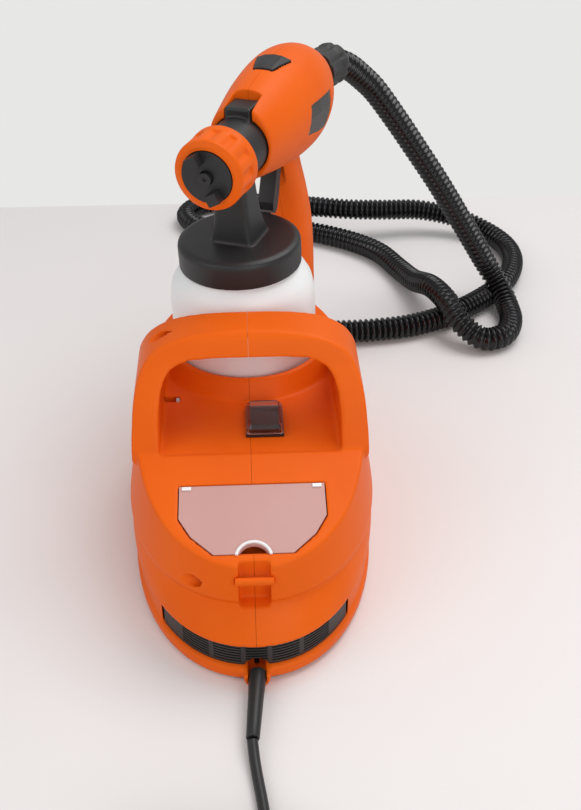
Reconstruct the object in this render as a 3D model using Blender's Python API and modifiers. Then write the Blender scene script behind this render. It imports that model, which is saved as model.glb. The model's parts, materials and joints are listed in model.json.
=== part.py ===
"""Turbine paint sprayer: a floor unit with a carrying handle and a cup cradle, a spray gun
standing in the cradle on its paint cup, the air hose between them and the mains lead.

Metres, +Z up. X = 0 is the seam plane of the floor unit, +Y runs from its nose to its rear,
and z = 0 is the table. The gun stands turned about the cup's axis by GUN_TURN.
"""

import math

import bmesh
import bpy
from mathutils import Matrix, Vector

# Driving dimensions of the floor unit
GAP = 0.0003
SEAM = 0.00015
WALL = 0.003
UNIT_MID_Y = -0.010
NOSE_Y = -0.154
TAIL_Y = 0.154
BELLY = 0.0855
BAND_Z = (0.0125, 0.030)
LEDGE_Z = 0.056
RIM_Z = 0.116
NOSE_POWER = 2.15
DECK_Z = 0.102
FOLD = (-0.046, 0.104)
TOP_FRONT = (-0.131, 0.080)
TOP_SLOPE = math.atan2(FOLD[1] - TOP_FRONT[1], FOLD[0] - TOP_FRONT[0])
CRADLE_R = 0.0565
CRADLE_FLOOR = 0.0700
ARM_INNER = 0.061
NOTCH_HALF = 0.010
STRAP_BAR = (-0.1335, 0.0705)
PORT_Z = 0.042
BLADES = 7

# Driving dimensions of the cup, the lid and the gun
CUP_Y = 0.082
CUP_R = 0.0533
CUP_BASE = 0.0705
CUP_WALL = 0.0018
LID_R = 0.0443
LID_Z = (0.1785, 0.1975)
GUN_TURN = math.radians(-23.5)
GUN_LEAN = math.radians(-1.9)
GUN_LIFT = 0.0015
GUN_Z = 0.2605
BODY_Z = GUN_Z + 0.0010
COLLAR_AT = (0.1600, 0.2605)
COLLAR_DROOP = math.radians(6.0)
BARREL_R = 0.0205
NUT_R = 0.0245
HOSE_R = 0.0112
CORD_R = 0.0034

COLLECTION = bpy.data.collections.new("paint_sprayer")
GUIDES = bpy.data.collections.new("cutters")
MATERIALS = {}


# Helpers

def clear_scene():
    for obj in list(bpy.data.objects):
        bpy.data.objects.remove(obj, do_unlink=True)
    bpy.context.scene.collection.children.link(COLLECTION)
    bpy.context.scene.collection.children.link(GUIDES)


def material(name, colour, roughness=0.45, metallic=0.0, alpha=1.0):
    mat = bpy.data.materials.new(name)
    mat.use_nodes = True
    shader = mat.node_tree.nodes["Principled BSDF"]
    shader.inputs["Base Color"].default_value = (*colour, 1.0)
    shader.inputs["Roughness"].default_value = roughness
    shader.inputs["Metallic"].default_value = metallic
    shader.inputs["Alpha"].default_value = alpha
    MATERIALS[name] = mat


def new_object(name, mesh):
    obj = bpy.data.objects.new(name, mesh)
    GUIDES.objects.link(obj)
    obj.hide_render = True
    obj.display_type = "WIRE"
    return obj


def keep(obj, name, slot, parent=None):
    """Makes a finished solid one of the named sub-parts."""
    GUIDES.objects.unlink(obj)
    COLLECTION.objects.link(obj)
    obj.hide_render = False
    obj.display_type = "TEXTURED"
    obj.name = name
    obj.data.name = name
    obj.data.materials.clear()
    obj.data.materials.append(MATERIALS[slot])
    obj.data.shade_smooth()
    obj.data.set_sharp_from_angle(angle=math.radians(35))
    if parent:
        obj.parent = parent
    return obj


def drop(*objects):
    for obj in objects:
        bpy.data.objects.remove(obj, do_unlink=True)


def baked(obj):
    """The object with its modifiers and placing made part of a new mesh."""
    bpy.context.view_layer.update()
    graph = bpy.context.evaluated_depsgraph_get()
    mesh = bpy.data.meshes.new_from_object(obj.evaluated_get(graph))
    mesh.transform(obj.matrix_world)
    new = new_object("solid", mesh)
    drop(obj)
    return new


def boolean(obj, tool, operation="DIFFERENCE"):
    mod = obj.modifiers.new("boolean", "BOOLEAN")
    mod.operation = operation
    mod.solver = "EXACT"
    mod.object = tool
    result = baked(obj)
    drop(tool)
    return result


def cut(obj, *tools):
    for tool in tools:
        obj = boolean(obj, tool)
    return obj


def join(obj, *tools):
    for tool in tools:
        obj = boolean(obj, tool, "UNION")
    return obj


def copy_of(obj):
    return new_object("copy", obj.data.copy())


def moved(obj, at=(0, 0, 0), turn=(0, 0, 0)):
    obj.matrix_world = Matrix.Translation(at) @ Matrix.Rotation(turn[2], 4, "Z") @ Matrix.Rotation(
        turn[1], 4, "Y") @ Matrix.Rotation(turn[0], 4, "X")
    return baked(obj)


def block(low, high):
    mesh = bpy.data.meshes.new("block")
    bm = bmesh.new()
    bmesh.ops.create_cube(bm, size=1.0)
    size = Vector(high) - Vector(low)
    bmesh.ops.scale(bm, vec=size, verts=bm.verts)
    bmesh.ops.translate(bm, vec=(Vector(low) + Vector(high)) / 2, verts=bm.verts)
    bm.to_mesh(mesh)
    bm.free()
    return new_object("block", mesh)


def rod(start, end, radius, end_radius=None, segments=24):
    """A cylinder or a cone between two points."""
    start, end = Vector(start), Vector(end)
    mesh = bpy.data.meshes.new("rod")
    bm = bmesh.new()
    bmesh.ops.create_cone(
        bm, cap_ends=True, segments=segments, radius1=radius,
        radius2=radius if end_radius is None else end_radius, depth=(end - start).length)
    turn = (end - start).to_track_quat("Z", "Y").to_matrix().to_4x4()
    bmesh.ops.transform(bm, matrix=Matrix.Translation((start + end) / 2) @ turn, verts=bm.verts)
    bm.to_mesh(mesh)
    bm.free()
    return new_object("rod", mesh)


def turned(profile, at=(0, 0, 0), along="Z", steps=28, squeeze=(1, 1)):
    """A profile of (radius, height) pairs, from top to bottom outside, turned about Z."""
    mesh = bpy.data.meshes.new("turned")
    verts = [(r, 0, z) for r, z in profile]
    closed = all(r > 0 for r, z in profile)
    edges = [(i, i + 1) for i in range(len(verts) - 1)]
    if closed:
        edges.append((len(verts) - 1, 0))
    mesh.from_pydata(verts, edges, [])
    obj = new_object("turned", mesh)
    mod = obj.modifiers.new("screw", "SCREW")
    mod.steps = mod.render_steps = steps
    mod.use_merge_vertices = True
    mod.merge_threshold = 0.00005
    mod.use_normal_calculate = True
    obj = baked(obj)
    obj.data.transform(Matrix.Diagonal((squeeze[0], squeeze[1], 1, 1)))
    turn = {"Z": Matrix.Identity(4), "Y": Matrix.Rotation(-math.pi / 2, 4, "X"),
            "X": Matrix.Rotation(math.pi / 2, 4, "Y")}[along]
    obj.data.transform(Matrix.Translation(at) @ turn)
    bm = bmesh.new()
    bm.from_mesh(obj.data)
    bmesh.ops.remove_doubles(bm, verts=bm.verts, dist=0.000005)
    bmesh.ops.recalc_face_normals(bm, faces=bm.faces)
    bm.to_mesh(obj.data)
    bm.free()
    return obj


def prism(outline, low, high, along="Z"):
    """A flat outline given thickness. Along X the outline is (y, z), along Y it is (x, z)."""
    curve = bpy.data.curves.new("outline", "CURVE")
    curve.dimensions = "2D"
    curve.fill_mode = "BOTH"
    curve.extrude = (high - low) / 2
    spline = curve.splines.new("POLY")
    spline.points.add(len(outline) - 1)
    for point, (a, b) in zip(spline.points, outline):
        point.co = (a, b, 0, 1)
    spline.use_cyclic_u = True
    obj = new_object("outline", curve)
    graph = bpy.context.evaluated_depsgraph_get()
    bpy.context.view_layer.update()
    mesh = bpy.data.meshes.new_from_object(obj.evaluated_get(graph))
    drop(obj)
    middle = (high + low) / 2
    place = {
        "Z": Matrix.Translation((0, 0, middle)),
        "X": Matrix.Translation((middle, 0, 0)) @ Matrix(
            ((0, 0, 1, 0), (1, 0, 0, 0), (0, 1, 0, 0), (0, 0, 0, 1))),
        "Y": Matrix.Translation((0, middle, 0)) @ Matrix(
            ((1, 0, 0, 0), (0, 0, -1, 0), (0, 1, 0, 0), (0, 0, 0, 1))),
    }[along]
    mesh.transform(place)
    bm = bmesh.new()
    bm.from_mesh(mesh)
    bmesh.ops.remove_doubles(bm, verts=bm.verts, dist=0.00001)
    bmesh.ops.recalc_face_normals(bm, faces=bm.faces)
    bm.to_mesh(mesh)
    bm.free()
    return new_object("prism", mesh)


def loft(rings):
    """A closed solid through rings of equally many points, each ring flat-capped at the ends."""
    mesh = bpy.data.meshes.new("loft")
    bm = bmesh.new()
    rows = [[bm.verts.new(p) for p in ring] for ring in rings]
    count = len(rings[0])
    for low, high in zip(rows, rows[1:]):
        for i in range(count):
            j = (i + 1) % count
            bm.faces.new((low[i], low[j], high[j], high[i]))
    bm.faces.new(rows[0])
    bm.faces.new(rows[-1])
    bmesh.ops.recalc_face_normals(bm, faces=bm.faces)
    bm.to_mesh(mesh)
    bm.free()
    return new_object("loft", mesh)


def tube(points, radius, resolution=2):
    """A round tube along points, as a mesh."""
    curve = bpy.data.curves.new("tube", "CURVE")
    curve.dimensions = "3D"
    curve.bevel_depth = radius
    curve.bevel_resolution = resolution
    curve.use_fill_caps = True
    spline = curve.splines.new("POLY")
    spline.points.add(len(points) - 1)
    for point, co in zip(spline.points, points):
        point.co = (*co, 1)
    obj = new_object("tube", curve)
    obj = baked(obj)
    bm = bmesh.new()
    bm.from_mesh(obj.data)
    bmesh.ops.remove_doubles(bm, verts=bm.verts, dist=0.00001)
    bm.to_mesh(obj.data)
    bm.free()
    return obj


def smooth_path(points, spacing):
    """Points about spacing apart on a Catmull-Rom curve through the route's points."""
    route = [Vector(p) for p in points]
    route = [route[0] * 2 - route[1]] + route + [route[-1] * 2 - route[-2]]
    fine = []
    for i in range(1, len(route) - 2):
        a, b, c, d = route[i - 1:i + 3]
        for k in range(24):
            t = k / 24
            fine.append(0.5 * ((2 * b) + (c - a) * t + (2 * a - 5 * b + 4 * c - d) * t ** 2
                               + (3 * b - a - 3 * c + d) * t ** 3))
    fine.append(route[-2])
    total = sum((q - p).length for p, q in zip(fine, fine[1:]))
    steps = max(2, round(total / spacing))
    result, walked, target = [fine[0]], 0.0, total / steps
    for p, q in zip(fine, fine[1:]):
        length = (q - p).length
        while walked + length >= target - 1e-9 and len(result) < steps:
            result.append(p.lerp(q, (target - walked) / length))
            target += total / steps
        walked += length
    return result + [fine[-1]]


def rounded(width, depth, radius, at=(0, 0), arc=4):
    """A rectangle's outline with round corners."""
    points = []
    for corner, (sx, sy) in enumerate(((1, 1), (-1, 1), (-1, -1), (1, -1))):
        for k in range(arc + 1):
            angle = math.pi / 2 * (corner + k / arc)
            points.append((at[0] + sx * (width / 2 - radius) + radius * math.cos(angle),
                           at[1] + sy * (depth / 2 - radius) + radius * math.sin(angle)))
    return points


def halves(obj, height=1.0):
    """The part left and the part right of the seam plane."""
    left = boolean(copy_of(obj), block((-1, -1, -height), (-SEAM, 1, height)), "INTERSECT")
    right = boolean(obj, block((SEAM, -1, -height), (1, 1, height)), "INTERSECT")
    return left, right


# The floor unit's form

def plan(half, nose, tail, rear_power, points=48):
    """The egg-shaped outline: an ellipse in front of UNIT_MID_Y, a fuller curve behind it."""
    outline = []
    for k in range(points):
        angle = 2 * math.pi * k / points
        c, s = math.cos(angle), math.sin(angle)
        power = NOSE_POWER if s < 0 else rear_power
        reach = (UNIT_MID_Y - nose) if s < 0 else (tail - UNIT_MID_Y)
        x = math.copysign(abs(c) ** (2 / power), c) * half
        y = math.copysign(abs(s) ** (2 / power), s) * reach
        outline.append((x, UNIT_MID_Y + y))
    return outline


# height, half width, nose, tail, fullness of the rear
LOWER_LEVELS = (
    (0.0015, 0.0830, -0.1510, 0.1510, 2.6),
    (0.0040, BELLY, NOSE_Y, TAIL_Y - 0.0005, 2.6),
    (0.0115, BELLY, NOSE_Y, TAIL_Y - 0.0005, 2.6),
    (BAND_Z[0], 0.0835, -0.1510, 0.1520, 2.6),
    (BAND_Z[1], 0.0835, -0.1505, 0.1520, 2.6),
    (0.0308, 0.0855, -0.1520, 0.1538, 2.6),
    (0.0400, 0.0860, -0.1455, 0.1540, 2.7),
    (0.0520, 0.0850, -0.1350, 0.1540, 2.7),
    (0.0600, 0.0835, -0.1300, 0.1530, 2.7),
)
UPPER_LEVELS = (
    (0.0525, 0.0855, -0.1345, 0.1540, 2.7),
    (LEDGE_Z, 0.0865, -0.1370, 0.1542, 2.7),
    (0.0800, 0.0825, -0.1310, 0.1543, 2.65),
    (0.0960, 0.0795, -0.1270, 0.1545, 2.6),
    (0.1200, 0.0765, -0.1230, 0.1548, 2.6),
)


def unit_form(inset=0.0):
    lower = loft([[(x, y, z) for x, y in plan(a - inset, n + inset, t - inset, p)]
                  for z, a, n, t, p in LOWER_LEVELS])
    upper = loft([[(x, y, z) for x, y in plan(a - inset, n + inset, t - inset, p)]
                  for z, a, n, t, p in UPPER_LEVELS])
    if inset:
        below = [(x, y, -0.01) for x, y in plan(BELLY - inset, NOSE_Y + inset, TAIL_Y - inset, 2.6)]
        above = [(x, y, 0.006) for x, y in plan(BELLY - inset, NOSE_Y + inset, TAIL_Y - inset, 2.6)]
        lower = join(lower, loft([below, above]))
    return join(lower, upper)


def above_top(drop_by=0.0):
    """Everything over the unit's top line, seen from the side."""
    y0, z0 = TOP_FRONT
    reach = 0.06
    outline = [
        (y0 - reach, z0 - reach * math.tan(TOP_SLOPE) - drop_by), (FOLD[0], FOLD[1] - drop_by),
        (FOLD[0] + 0.008, RIM_Z - drop_by), (0.25, RIM_Z - drop_by), (0.25, 0.30), (y0 - reach, 0.30)]
    return prism(outline, -0.2, 0.2, "X")


def deck_pocket():
    """The space over the deck, between the arms and in front of the cup's rim."""
    pocket = block((-ARM_INNER, FOLD[0] - 0.001, DECK_Z), (ARM_INNER, 0.056, 0.20))
    rim = rod((0, CUP_Y, DECK_Z - 0.004), (0, CUP_Y, RIM_Z - 0.0006), 0.0715, 0.0595, 48)
    return cut(pocket, rim)


def handle_form():
    """The carrying handle: an arch seen from the front, swept back seen from the side."""
    arch = [(0.080, 0.095), (0.079, 0.118), (0.0765, 0.138), (0.071, 0.153), (0.062, 0.163),
            (0.046, 0.1695), (0.022, 0.1725), (0.0, 0.1732)]
    inner = [(0.0, 0.1575), (0.030, 0.1572), (0.0430, 0.1555), (0.0525, 0.1505), (0.0580, 0.1415), (0.0605, 0.127),
             (ARM_INNER, 0.108), (ARM_INNER, 0.095)]
    whole = (arch + [(-x, z) for x, z in reversed(arch) if x > 0]
             + [(-x, z) for x, z in reversed(inner) if x > 0] + inner)
    front = prism(whole, -0.06, 0.075, "Y")
    side = [(-0.046, 0.096), (-0.046, 0.1045), (-0.032, 0.131), (-0.017, 0.1535), (-0.0095, 0.1685),
            (-0.005, 0.1735), (0.018, 0.1745), (0.0225, 0.1715), (0.0225, 0.160), (0.0265, 0.150),
            (0.038, 0.133), (0.062, 0.117), (0.062, 0.096)]
    return boolean(front, prism(side, -0.1, 0.1, "X"), "INTERSECT")


GRILLE_HALF = 0.0625
BAND_CURVE = (0.0835, -0.1507, 0.1520, 2.6)
WINDOW = ((0.0478, -0.0713), (0.0478, -0.0955), (0.0400, -0.1085), (0.0255, -0.1215))
BIN_DEPTH = 0.015
UNIT_SCREWS = {"handle": (0.006, 0.163, -0.043), "deck": (0.019, 0.0995, -0.050),
               "ledge": (-0.1225, 0.0625, -0.029)}
POSTS = ((0.050, -0.084), (-0.050, -0.084), (0.055, 0.070), (-0.055, 0.070))
SWITCH = (0.0100, -0.0115)


def band_strip(near, far, low, high, half=GRILLE_HALF):
    """A strip of the band under the nose, between two depths behind its outer face."""
    outer = [p for p in plan(BAND_CURVE[0] - near, BAND_CURVE[1] + near, 0.15, 2.6, 96) if p[1] < UNIT_MID_Y]
    inner = [p for p in plan(BAND_CURVE[0] - far, BAND_CURVE[1] + far, 0.15, 2.6, 96) if p[1] < UNIT_MID_Y]
    outer = [p for p in outer if abs(p[0]) <= half]
    inner = [p for p in inner if abs(p[0]) <= half]
    return prism(outer + inner[::-1], low, high)


def window_outline(grow=0.0):
    right = [(x + grow, y + (grow if i == 0 else -grow * 0.7)) for i, (x, y) in enumerate(WINDOW)]
    return [(-x, y) for x, y in right] + right[::-1]


def on_top_plane(obj):
    """Tilts a piece drawn flat at z = 0 onto the sloping top."""
    y0, z0 = TOP_FRONT
    tilt = Matrix.Translation((0, y0, z0)) @ Matrix.Rotation(TOP_SLOPE, 4, "X")
    stretch = Matrix.Diagonal((1, 1 / math.cos(TOP_SLOPE), 1, 1))
    obj.data.transform(tilt @ stretch @ Matrix.Translation((0, -y0, 0)))
    return obj


def make_shells():
    blank = cut(unit_form(), above_top(), deck_pocket())
    blank = join(blank, handle_form())
    boss = rod((0, NOSE_Y + 0.006, 0.0095), (0, NOSE_Y - 0.006, 0.0095), 0.0085, segments=32)
    blank = join(blank, boss)
    port = rod((0, TAIL_Y - 0.008, PORT_Z), (0, TAIL_Y + 0.006, PORT_Z), 0.0190, segments=40)
    blank = join(blank, port)

    cavity = cut(unit_form(WALL), above_top(WALL))
    cavity = cut(cavity, block((-ARM_INNER - WALL, -0.049, DECK_Z - WALL), (ARM_INNER + WALL, 0.060, 0.15)))
    cavity = cut(cavity, rod((0, CUP_Y, CRADLE_FLOOR - WALL), (0, CUP_Y, 0.15), CRADLE_R + 0.0028, segments=48))
    cavity = cut(cavity, block((-NOTCH_HALF - WALL, -0.16, LEDGE_Z - 0.009), (NOTCH_HALF + WALL, -0.1225, 0.10)))
    for y, z, head in UNIT_SCREWS.values():
        if z < 0.15:
            cavity = cut(cavity, rod((-0.09, y, z), (0.09, y, z), 0.0045, segments=12))
    for x, y in POSTS:
        cavity = cut(cavity, rod((x, y, 0.0042), (x, y, 0.12), 0.0045, segments=16))
    blank = cut(blank, cavity)

    blank = cut(blank, rod((0, CUP_Y, CRADLE_FLOOR), (0, CUP_Y, 0.20), CRADLE_R, segments=48))
    blank = cut(blank, block((-NOTCH_HALF, -0.16, LEDGE_Z - 0.006), (NOTCH_HALF, -0.1262, 0.10)))
    reach = NOTCH_HALF + 0.0025
    blank = cut(blank, rod((-reach, *STRAP_BAR), (reach, *STRAP_BAR), 0.0030, segments=16))
    blank = cut(blank, band_strip(-0.01, 0.006, BAND_Z[0], BAND_Z[1]))
    blank = cut(blank, rod((0, -0.17, 0.0095), (0, -0.12, 0.0095), 0.0060, segments=24))
    blank = cut(blank, rod((0, 0.13, PORT_Z), (0, 0.17, PORT_Z), 0.0160, segments=40))
    blank = cut(blank, on_top_plane(prism(window_outline(GAP), -0.02, 0.02)))
    blank = cut(blank, block((SWITCH[0] - 0.0121, SWITCH[1] - 0.0160, 0.09),
                             (SWITCH[0] + 0.0121, SWITCH[1] + 0.0160, 0.11)))
    for y, z, head in UNIT_SCREWS.values():
        blank = cut(blank, rod((-0.10, y, z), (head, y, z), 0.0038, segments=20))
        blank = cut(blank, rod((-0.10, y, z), (0.013, y, z), 0.0019, segments=12))
    for x, y in POSTS:
        blank = cut(blank, rod((x, y, 0), (x, y, 0.020), 0.0019, segments=12))
    left, right = halves(blank)
    keep(left, "left_shell", "orange_plastic")
    keep(right, "right_shell", "orange_plastic")


def screw(name, start, end, head_r, shank_r, head_depth, slot="steel", parent=None):
    """A pan-head screw whose head starts at start and whose tip is at end."""
    start, end = Vector(start), Vector(end)
    way = (end - start).normalized()
    head = rod(start, start + way * head_depth, head_r, segments=12)
    shank = rod(start + way * head_depth * 0.5, end, shank_r, segments=8)
    recess = block((-0.0003, -head_r * 0.6, -0.0008), (0.0003, head_r * 0.6, 0.0008))
    recess.matrix_world = Matrix.Translation(start) @ way.to_track_quat("Z", "Y").to_matrix().to_4x4()
    whole = cut(join(head, shank), baked(recess))
    return keep(whole, name, slot, parent)


def make_base():
    outline = plan(BELLY - WALL - GAP, NOSE_Y + WALL + GAP, TAIL_Y - WALL - GAP - 0.0005, 2.6)
    pan = prism(outline, 0.0, 0.0038)
    pan = cut(pan, rod((0, -0.16, 0.0095), (0, -0.1415, 0.0095), 0.0090, segments=24))
    for x, y in POSTS:
        pan = cut(pan, rod((x, y, -0.01), (x, y, 0.0018), 0.0085, segments=14))
        pan = cut(pan, rod((x, y, -0.01), (x, y, 0.0024), 0.0034, segments=10))
        pan = cut(pan, rod((x, y, -0.01), (x, y, 0.01), 0.0019, segments=8))
    keep(pan, "base_pan", "black_plastic")
    for i, (x, y) in enumerate(POSTS):
        keep(rod((x, y, 0), (x, y, 0.0008), 0.0082, segments=16), f"foot_{i + 1}", "rubber")
        screw(f"base_screw_{i + 1}", (x, y, 0.0011), (x, y, 0.0130), 0.0030, 0.0015, 0.0010)


def make_unit_screws():
    for label, (y, z, head) in UNIT_SCREWS.items():
        screw(f"shell_screw_{label}", (head - 0.0024, y, z), (0.0105, y, z), 0.0033, 0.0015, 0.0021)


def make_strap_bar():
    bar = rod((-NOTCH_HALF - 0.0021, *STRAP_BAR), (NOTCH_HALF + 0.0021, *STRAP_BAR), 0.0026, segments=16)
    keep(bar, "strap_bar", "orange_plastic")


def make_grille():
    grille = band_strip(0.0003, 0.0033, BAND_Z[0] + GAP, BAND_Z[1] - GAP, GRILLE_HALF - 0.0008)
    rows, pitch, slot = 6, 0.0024, 0.0013
    spans = ((-0.0475, -0.0305), (-0.0275, -0.0100), (-0.0070, 0.0070), (0.0100, 0.0275), (0.0305, 0.0475))
    slots = None
    for low, high in spans:
        for row in range(rows):
            z = BAND_Z[0] + 0.0027 + row * pitch
            opening = block((low, -0.16, z), (high, -0.10, z + slot))
            slots = opening if slots is None else merged(slots, opening)
    grille = cut(grille, slots)
    grille = cut(grille, rod((0, -0.17, 0.0095), (0, -0.14, 0.0095), 0.0089, segments=32))
    keep(grille, "vent_grille", "grille_plastic")
    filter_pad = band_strip(0.0075, 0.0125, 0.0185, 0.0290, 0.050)
    keep(filter_pad, "air_filter", "foam")


def merged(first, second):
    """Two apart solids as one object, for use as a tool."""
    bm = bmesh.new()
    bm.from_mesh(first.data)
    bm.from_mesh(second.data)
    bm.to_mesh(first.data)
    bm.free()
    drop(second)
    return first


def make_accessory_bin():
    lid = on_top_plane(prism(window_outline(-0.0004), -0.0022, -0.0003))
    notch = rod((0, -0.1245, 0), (0, -0.1245, 0.12), 0.0098, segments=32)
    lid = cut(lid, notch)
    keep(lid, "accessory_lid", "frosted_plastic")
    outer = on_top_plane(prism(window_outline(-GAP), -BIN_DEPTH, -0.0028))
    inner = on_top_plane(prism(window_outline(-0.0022), -BIN_DEPTH + 0.0018, 0.01))
    keep(cut(outer, inner), "accessory_bin", "orange_plastic")


def make_switch():
    x, y = SWITCH
    frame = block((x - 0.0130, y - 0.0170, DECK_Z + GAP), (x + 0.0130, y + 0.0170, DECK_Z + 0.0022))
    collar = block((x - 0.0118, y - 0.0157, 0.0885), (x + 0.0118, y + 0.0157, DECK_Z + 0.001))
    frame = join(frame, collar)
    frame = cut(frame, block((x - 0.0100, y - 0.0140, 0.0865), (x + 0.0100, y + 0.0140, 0.12)))
    keep(frame, "switch_frame", "black_plastic")
    side = [(y - 0.0130, 0.0965), (y + 0.0130, 0.0965), (y + 0.0130, 0.1020), (y, 0.0998), (y - 0.0130, 0.1050)]
    keep(prism(side, x - 0.0095, x + 0.0095, "X"), "switch_rocker", "black_plastic")
    body = block((x - 0.0096, y - 0.0136, 0.0835), (x + 0.0096, y + 0.0136, 0.0930))
    body = join(body, block((x - 0.0030, y - 0.0100, 0.0795), (x + 0.0030, y + 0.0100, 0.0840)))
    keep(body, "switch_body", "black_plastic")
    outside = ((0.0256, 0.0336, DECK_Z + 0.0025), (0.0244, 0.0324, 0.1085), (0.0210, 0.0290, 0.1105))
    inside = ((0.0240, 0.0320, DECK_Z), (0.0230, 0.0310, 0.1078), (0.0196, 0.0276, 0.1098))
    cover = loft([[(px, py, z) for px, py in rounded(w, d, 0.003, (x, y))] for w, d, z in outside])
    inner = loft([[(px, py, z) for px, py in rounded(w, d, 0.0025, (x, y))] for w, d, z in inside])
    keep(cut(cover, inner), "switch_cover", "clear_plastic")


def make_turbine():
    axis_z = 0.0430
    at = (0, 0, axis_z)
    housing = [(0.0340, 0.0120), (0.0340, -0.0300), (0.0160, -0.0300), (0.0160, -0.0280), (0.0320, -0.0280),
               (0.0320, 0.0100), (0.0150, 0.0100), (0.0150, 0.0120)]
    keep(turned(housing, at, "Y", 32), "turbine_housing", "black_plastic")
    can = [(0.0280, -0.0303), (0.0280, -0.0685), (0.0042, -0.0685), (0.0042, -0.0670), (0.0265, -0.0670),
           (0.0265, -0.0303)]
    keep(turned(can, at, "Y", 28), "motor_can", "steel")
    stator = [(0.0262, -0.0380), (0.0262, -0.0600), (0.0158, -0.0600), (0.0158, -0.0380)]
    keep(turned(stator, at, "Y", 24), "motor_stator", "steel")
    bearing = [(0.0080, -0.0625), (0.0080, -0.0667), (0.0034, -0.0667), (0.0034, -0.0625)]
    keep(turned(bearing, at, "Y", 16), "front_bearing", "steel")
    bearing = [(0.0155, -0.0282), (0.0155, -0.0298), (0.0034, -0.0298), (0.0034, -0.0282)]
    keep(turned(bearing, at, "Y", 20), "rear_bearing_plate", "steel")
    shaft = [(0.0, 0.0060), (0.0030, 0.0060), (0.0030, -0.0370), (0.0150, -0.0385), (0.0150, -0.0550),
             (0.0090, -0.0560), (0.0090, -0.0615), (0.0030, -0.0620), (0.0030, -0.0740), (0.0, -0.0740)]
    keep(turned(shaft, at, "Y", 16), "rotor_shaft", "steel")
    for stage, y in enumerate((-0.0250, -0.0080)):
        wheel = turned([(0.0075, y + 0.0110), (0.0075, y + 0.0018), (0.0300, y + 0.0018), (0.0300, y), (0.0033, y),
                        (0.0033, y + 0.0110)], at, "Y", 28)
        blades = None
        for k in range(BLADES):
            blade = block((-0.0008, y + 0.001, 0.0100), (0.0008, y + 0.0100, 0.0290))
            blade = moved(blade, at, (0, 2 * math.pi * (k + 0.13) / BLADES, 0))
            blades = blade if blades is None else merged(blades, blade)
        keep(join(wheel, blades), f"impeller_{stage + 1}", "aluminium")
    duct = [(0.0175, 0.1480), (0.0148, 0.1400), (0.0148, 0.0135), (0.0240, 0.0125), (0.0240, 0.0123),
            (0.0128, 0.0123), (0.0128, 0.1400), (0.0155, 0.1480)]
    duct = turned(duct, (0, 0, 0), "Y", 24)
    duct = moved(duct, (0, 0, PORT_Z))
    keep(duct, "outlet_duct", "black_plastic")
    saddle = block((-0.020, -0.0600, 0.0041), (0.020, -0.0400, 0.0300))
    saddle = cut(saddle, rod((0, -0.08, axis_z), (0, -0.02, axis_z), 0.0283, segments=48))
    keep(saddle, "motor_mount", "rubber")
    saddle = block((-0.022, -0.0160, 0.0041), (0.022, 0.0020, 0.0160))
    saddle = cut(saddle, rod((0, -0.03, axis_z), (0, 0.02, axis_z), 0.0343, segments=48))
    keep(saddle, "turbine_mount", "rubber")


# The gun, drawn along +Y from the cup's axis and then turned with its parent

BODY_FRONT = 0.0113
BODY_REAR = 0.160
BODY_HEIGHT = 1.18
BODY_PROFILE = ((0.0010, BODY_FRONT), (0.0230, BODY_FRONT), (0.0262, 0.028), (0.0298, 0.048), (0.0322, 0.066),
                (0.0338, 0.085), (0.0337, 0.103), (0.0305, 0.122), (0.0240, 0.140), (0.0165, 0.154),
                (0.0120, BODY_REAR), (0.0010, BODY_REAR))
# height, front, rear and half width of the pistol handle
GRIP_LEVELS = ((0.2450, 0.0660, 0.0940, 0.0125), (0.2210, 0.0700, 0.1005, 0.0135), (0.1920, 0.0800, 0.1120, 0.0145),
               (0.1630, 0.0865, 0.1205, 0.0150), (0.1350, 0.0890, 0.1230, 0.0150), (0.1160, 0.0895, 0.1230, 0.0150),
               (0.0960, 0.0900, 0.1225, 0.0150), (0.0870, 0.0920, 0.1210, 0.0135))


def gun_form(grow=0.0):
    profile = []
    for r, u in BODY_PROFILE:
        end = grow if u > 0.1 else -grow
        profile.append((max(r + grow, 0.0004) if r > 0.002 else 0.0,
                        u + (end if u in (BODY_FRONT, BODY_REAR) else 0.0)))
    return turned(profile[::-1], (0, 0, BODY_Z), "Y", 32, (1, BODY_HEIGHT))


def grip_form(grow=0.0, levels=GRIP_LEVELS):
    rings = []
    for i, (z, front, rear, half) in enumerate(levels):
        last = grow if i == len(levels) - 1 else 0
        radius = 0.9 * min(half, (rear - front) / 2)
        outline = rounded(2 * (half + grow), rear - front + 2 * grow, radius, (0, (front + rear) / 2), 5)
        rings.append([(x, u, z - last) for x, u in outline])
    return loft(rings)


def strip_zone(depth, half, end_gap):
    """The space of the soft strip down the back of the pistol handle."""
    levels = [(0.2070 - end_gap, 0.1060), (0.1920, 0.1120), (0.1630, 0.1205), (0.1350, 0.1230),
              (0.1080 + end_gap, 0.1228)]
    line = [(u - depth, z) for z, u in levels]
    return prism(line + [(0.20, levels[-1][0]), (0.20, levels[0][0])], -half, half, "X")


BUTTON = ((-0.0130, 0.0800), (0.0130, 0.0800), (0.0070, 0.0585), (-0.0070, 0.0585))
TRIGGER_PIVOT = (0.069, 0.2330)
GUN_SCREW = (0.064, 0.284)


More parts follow.
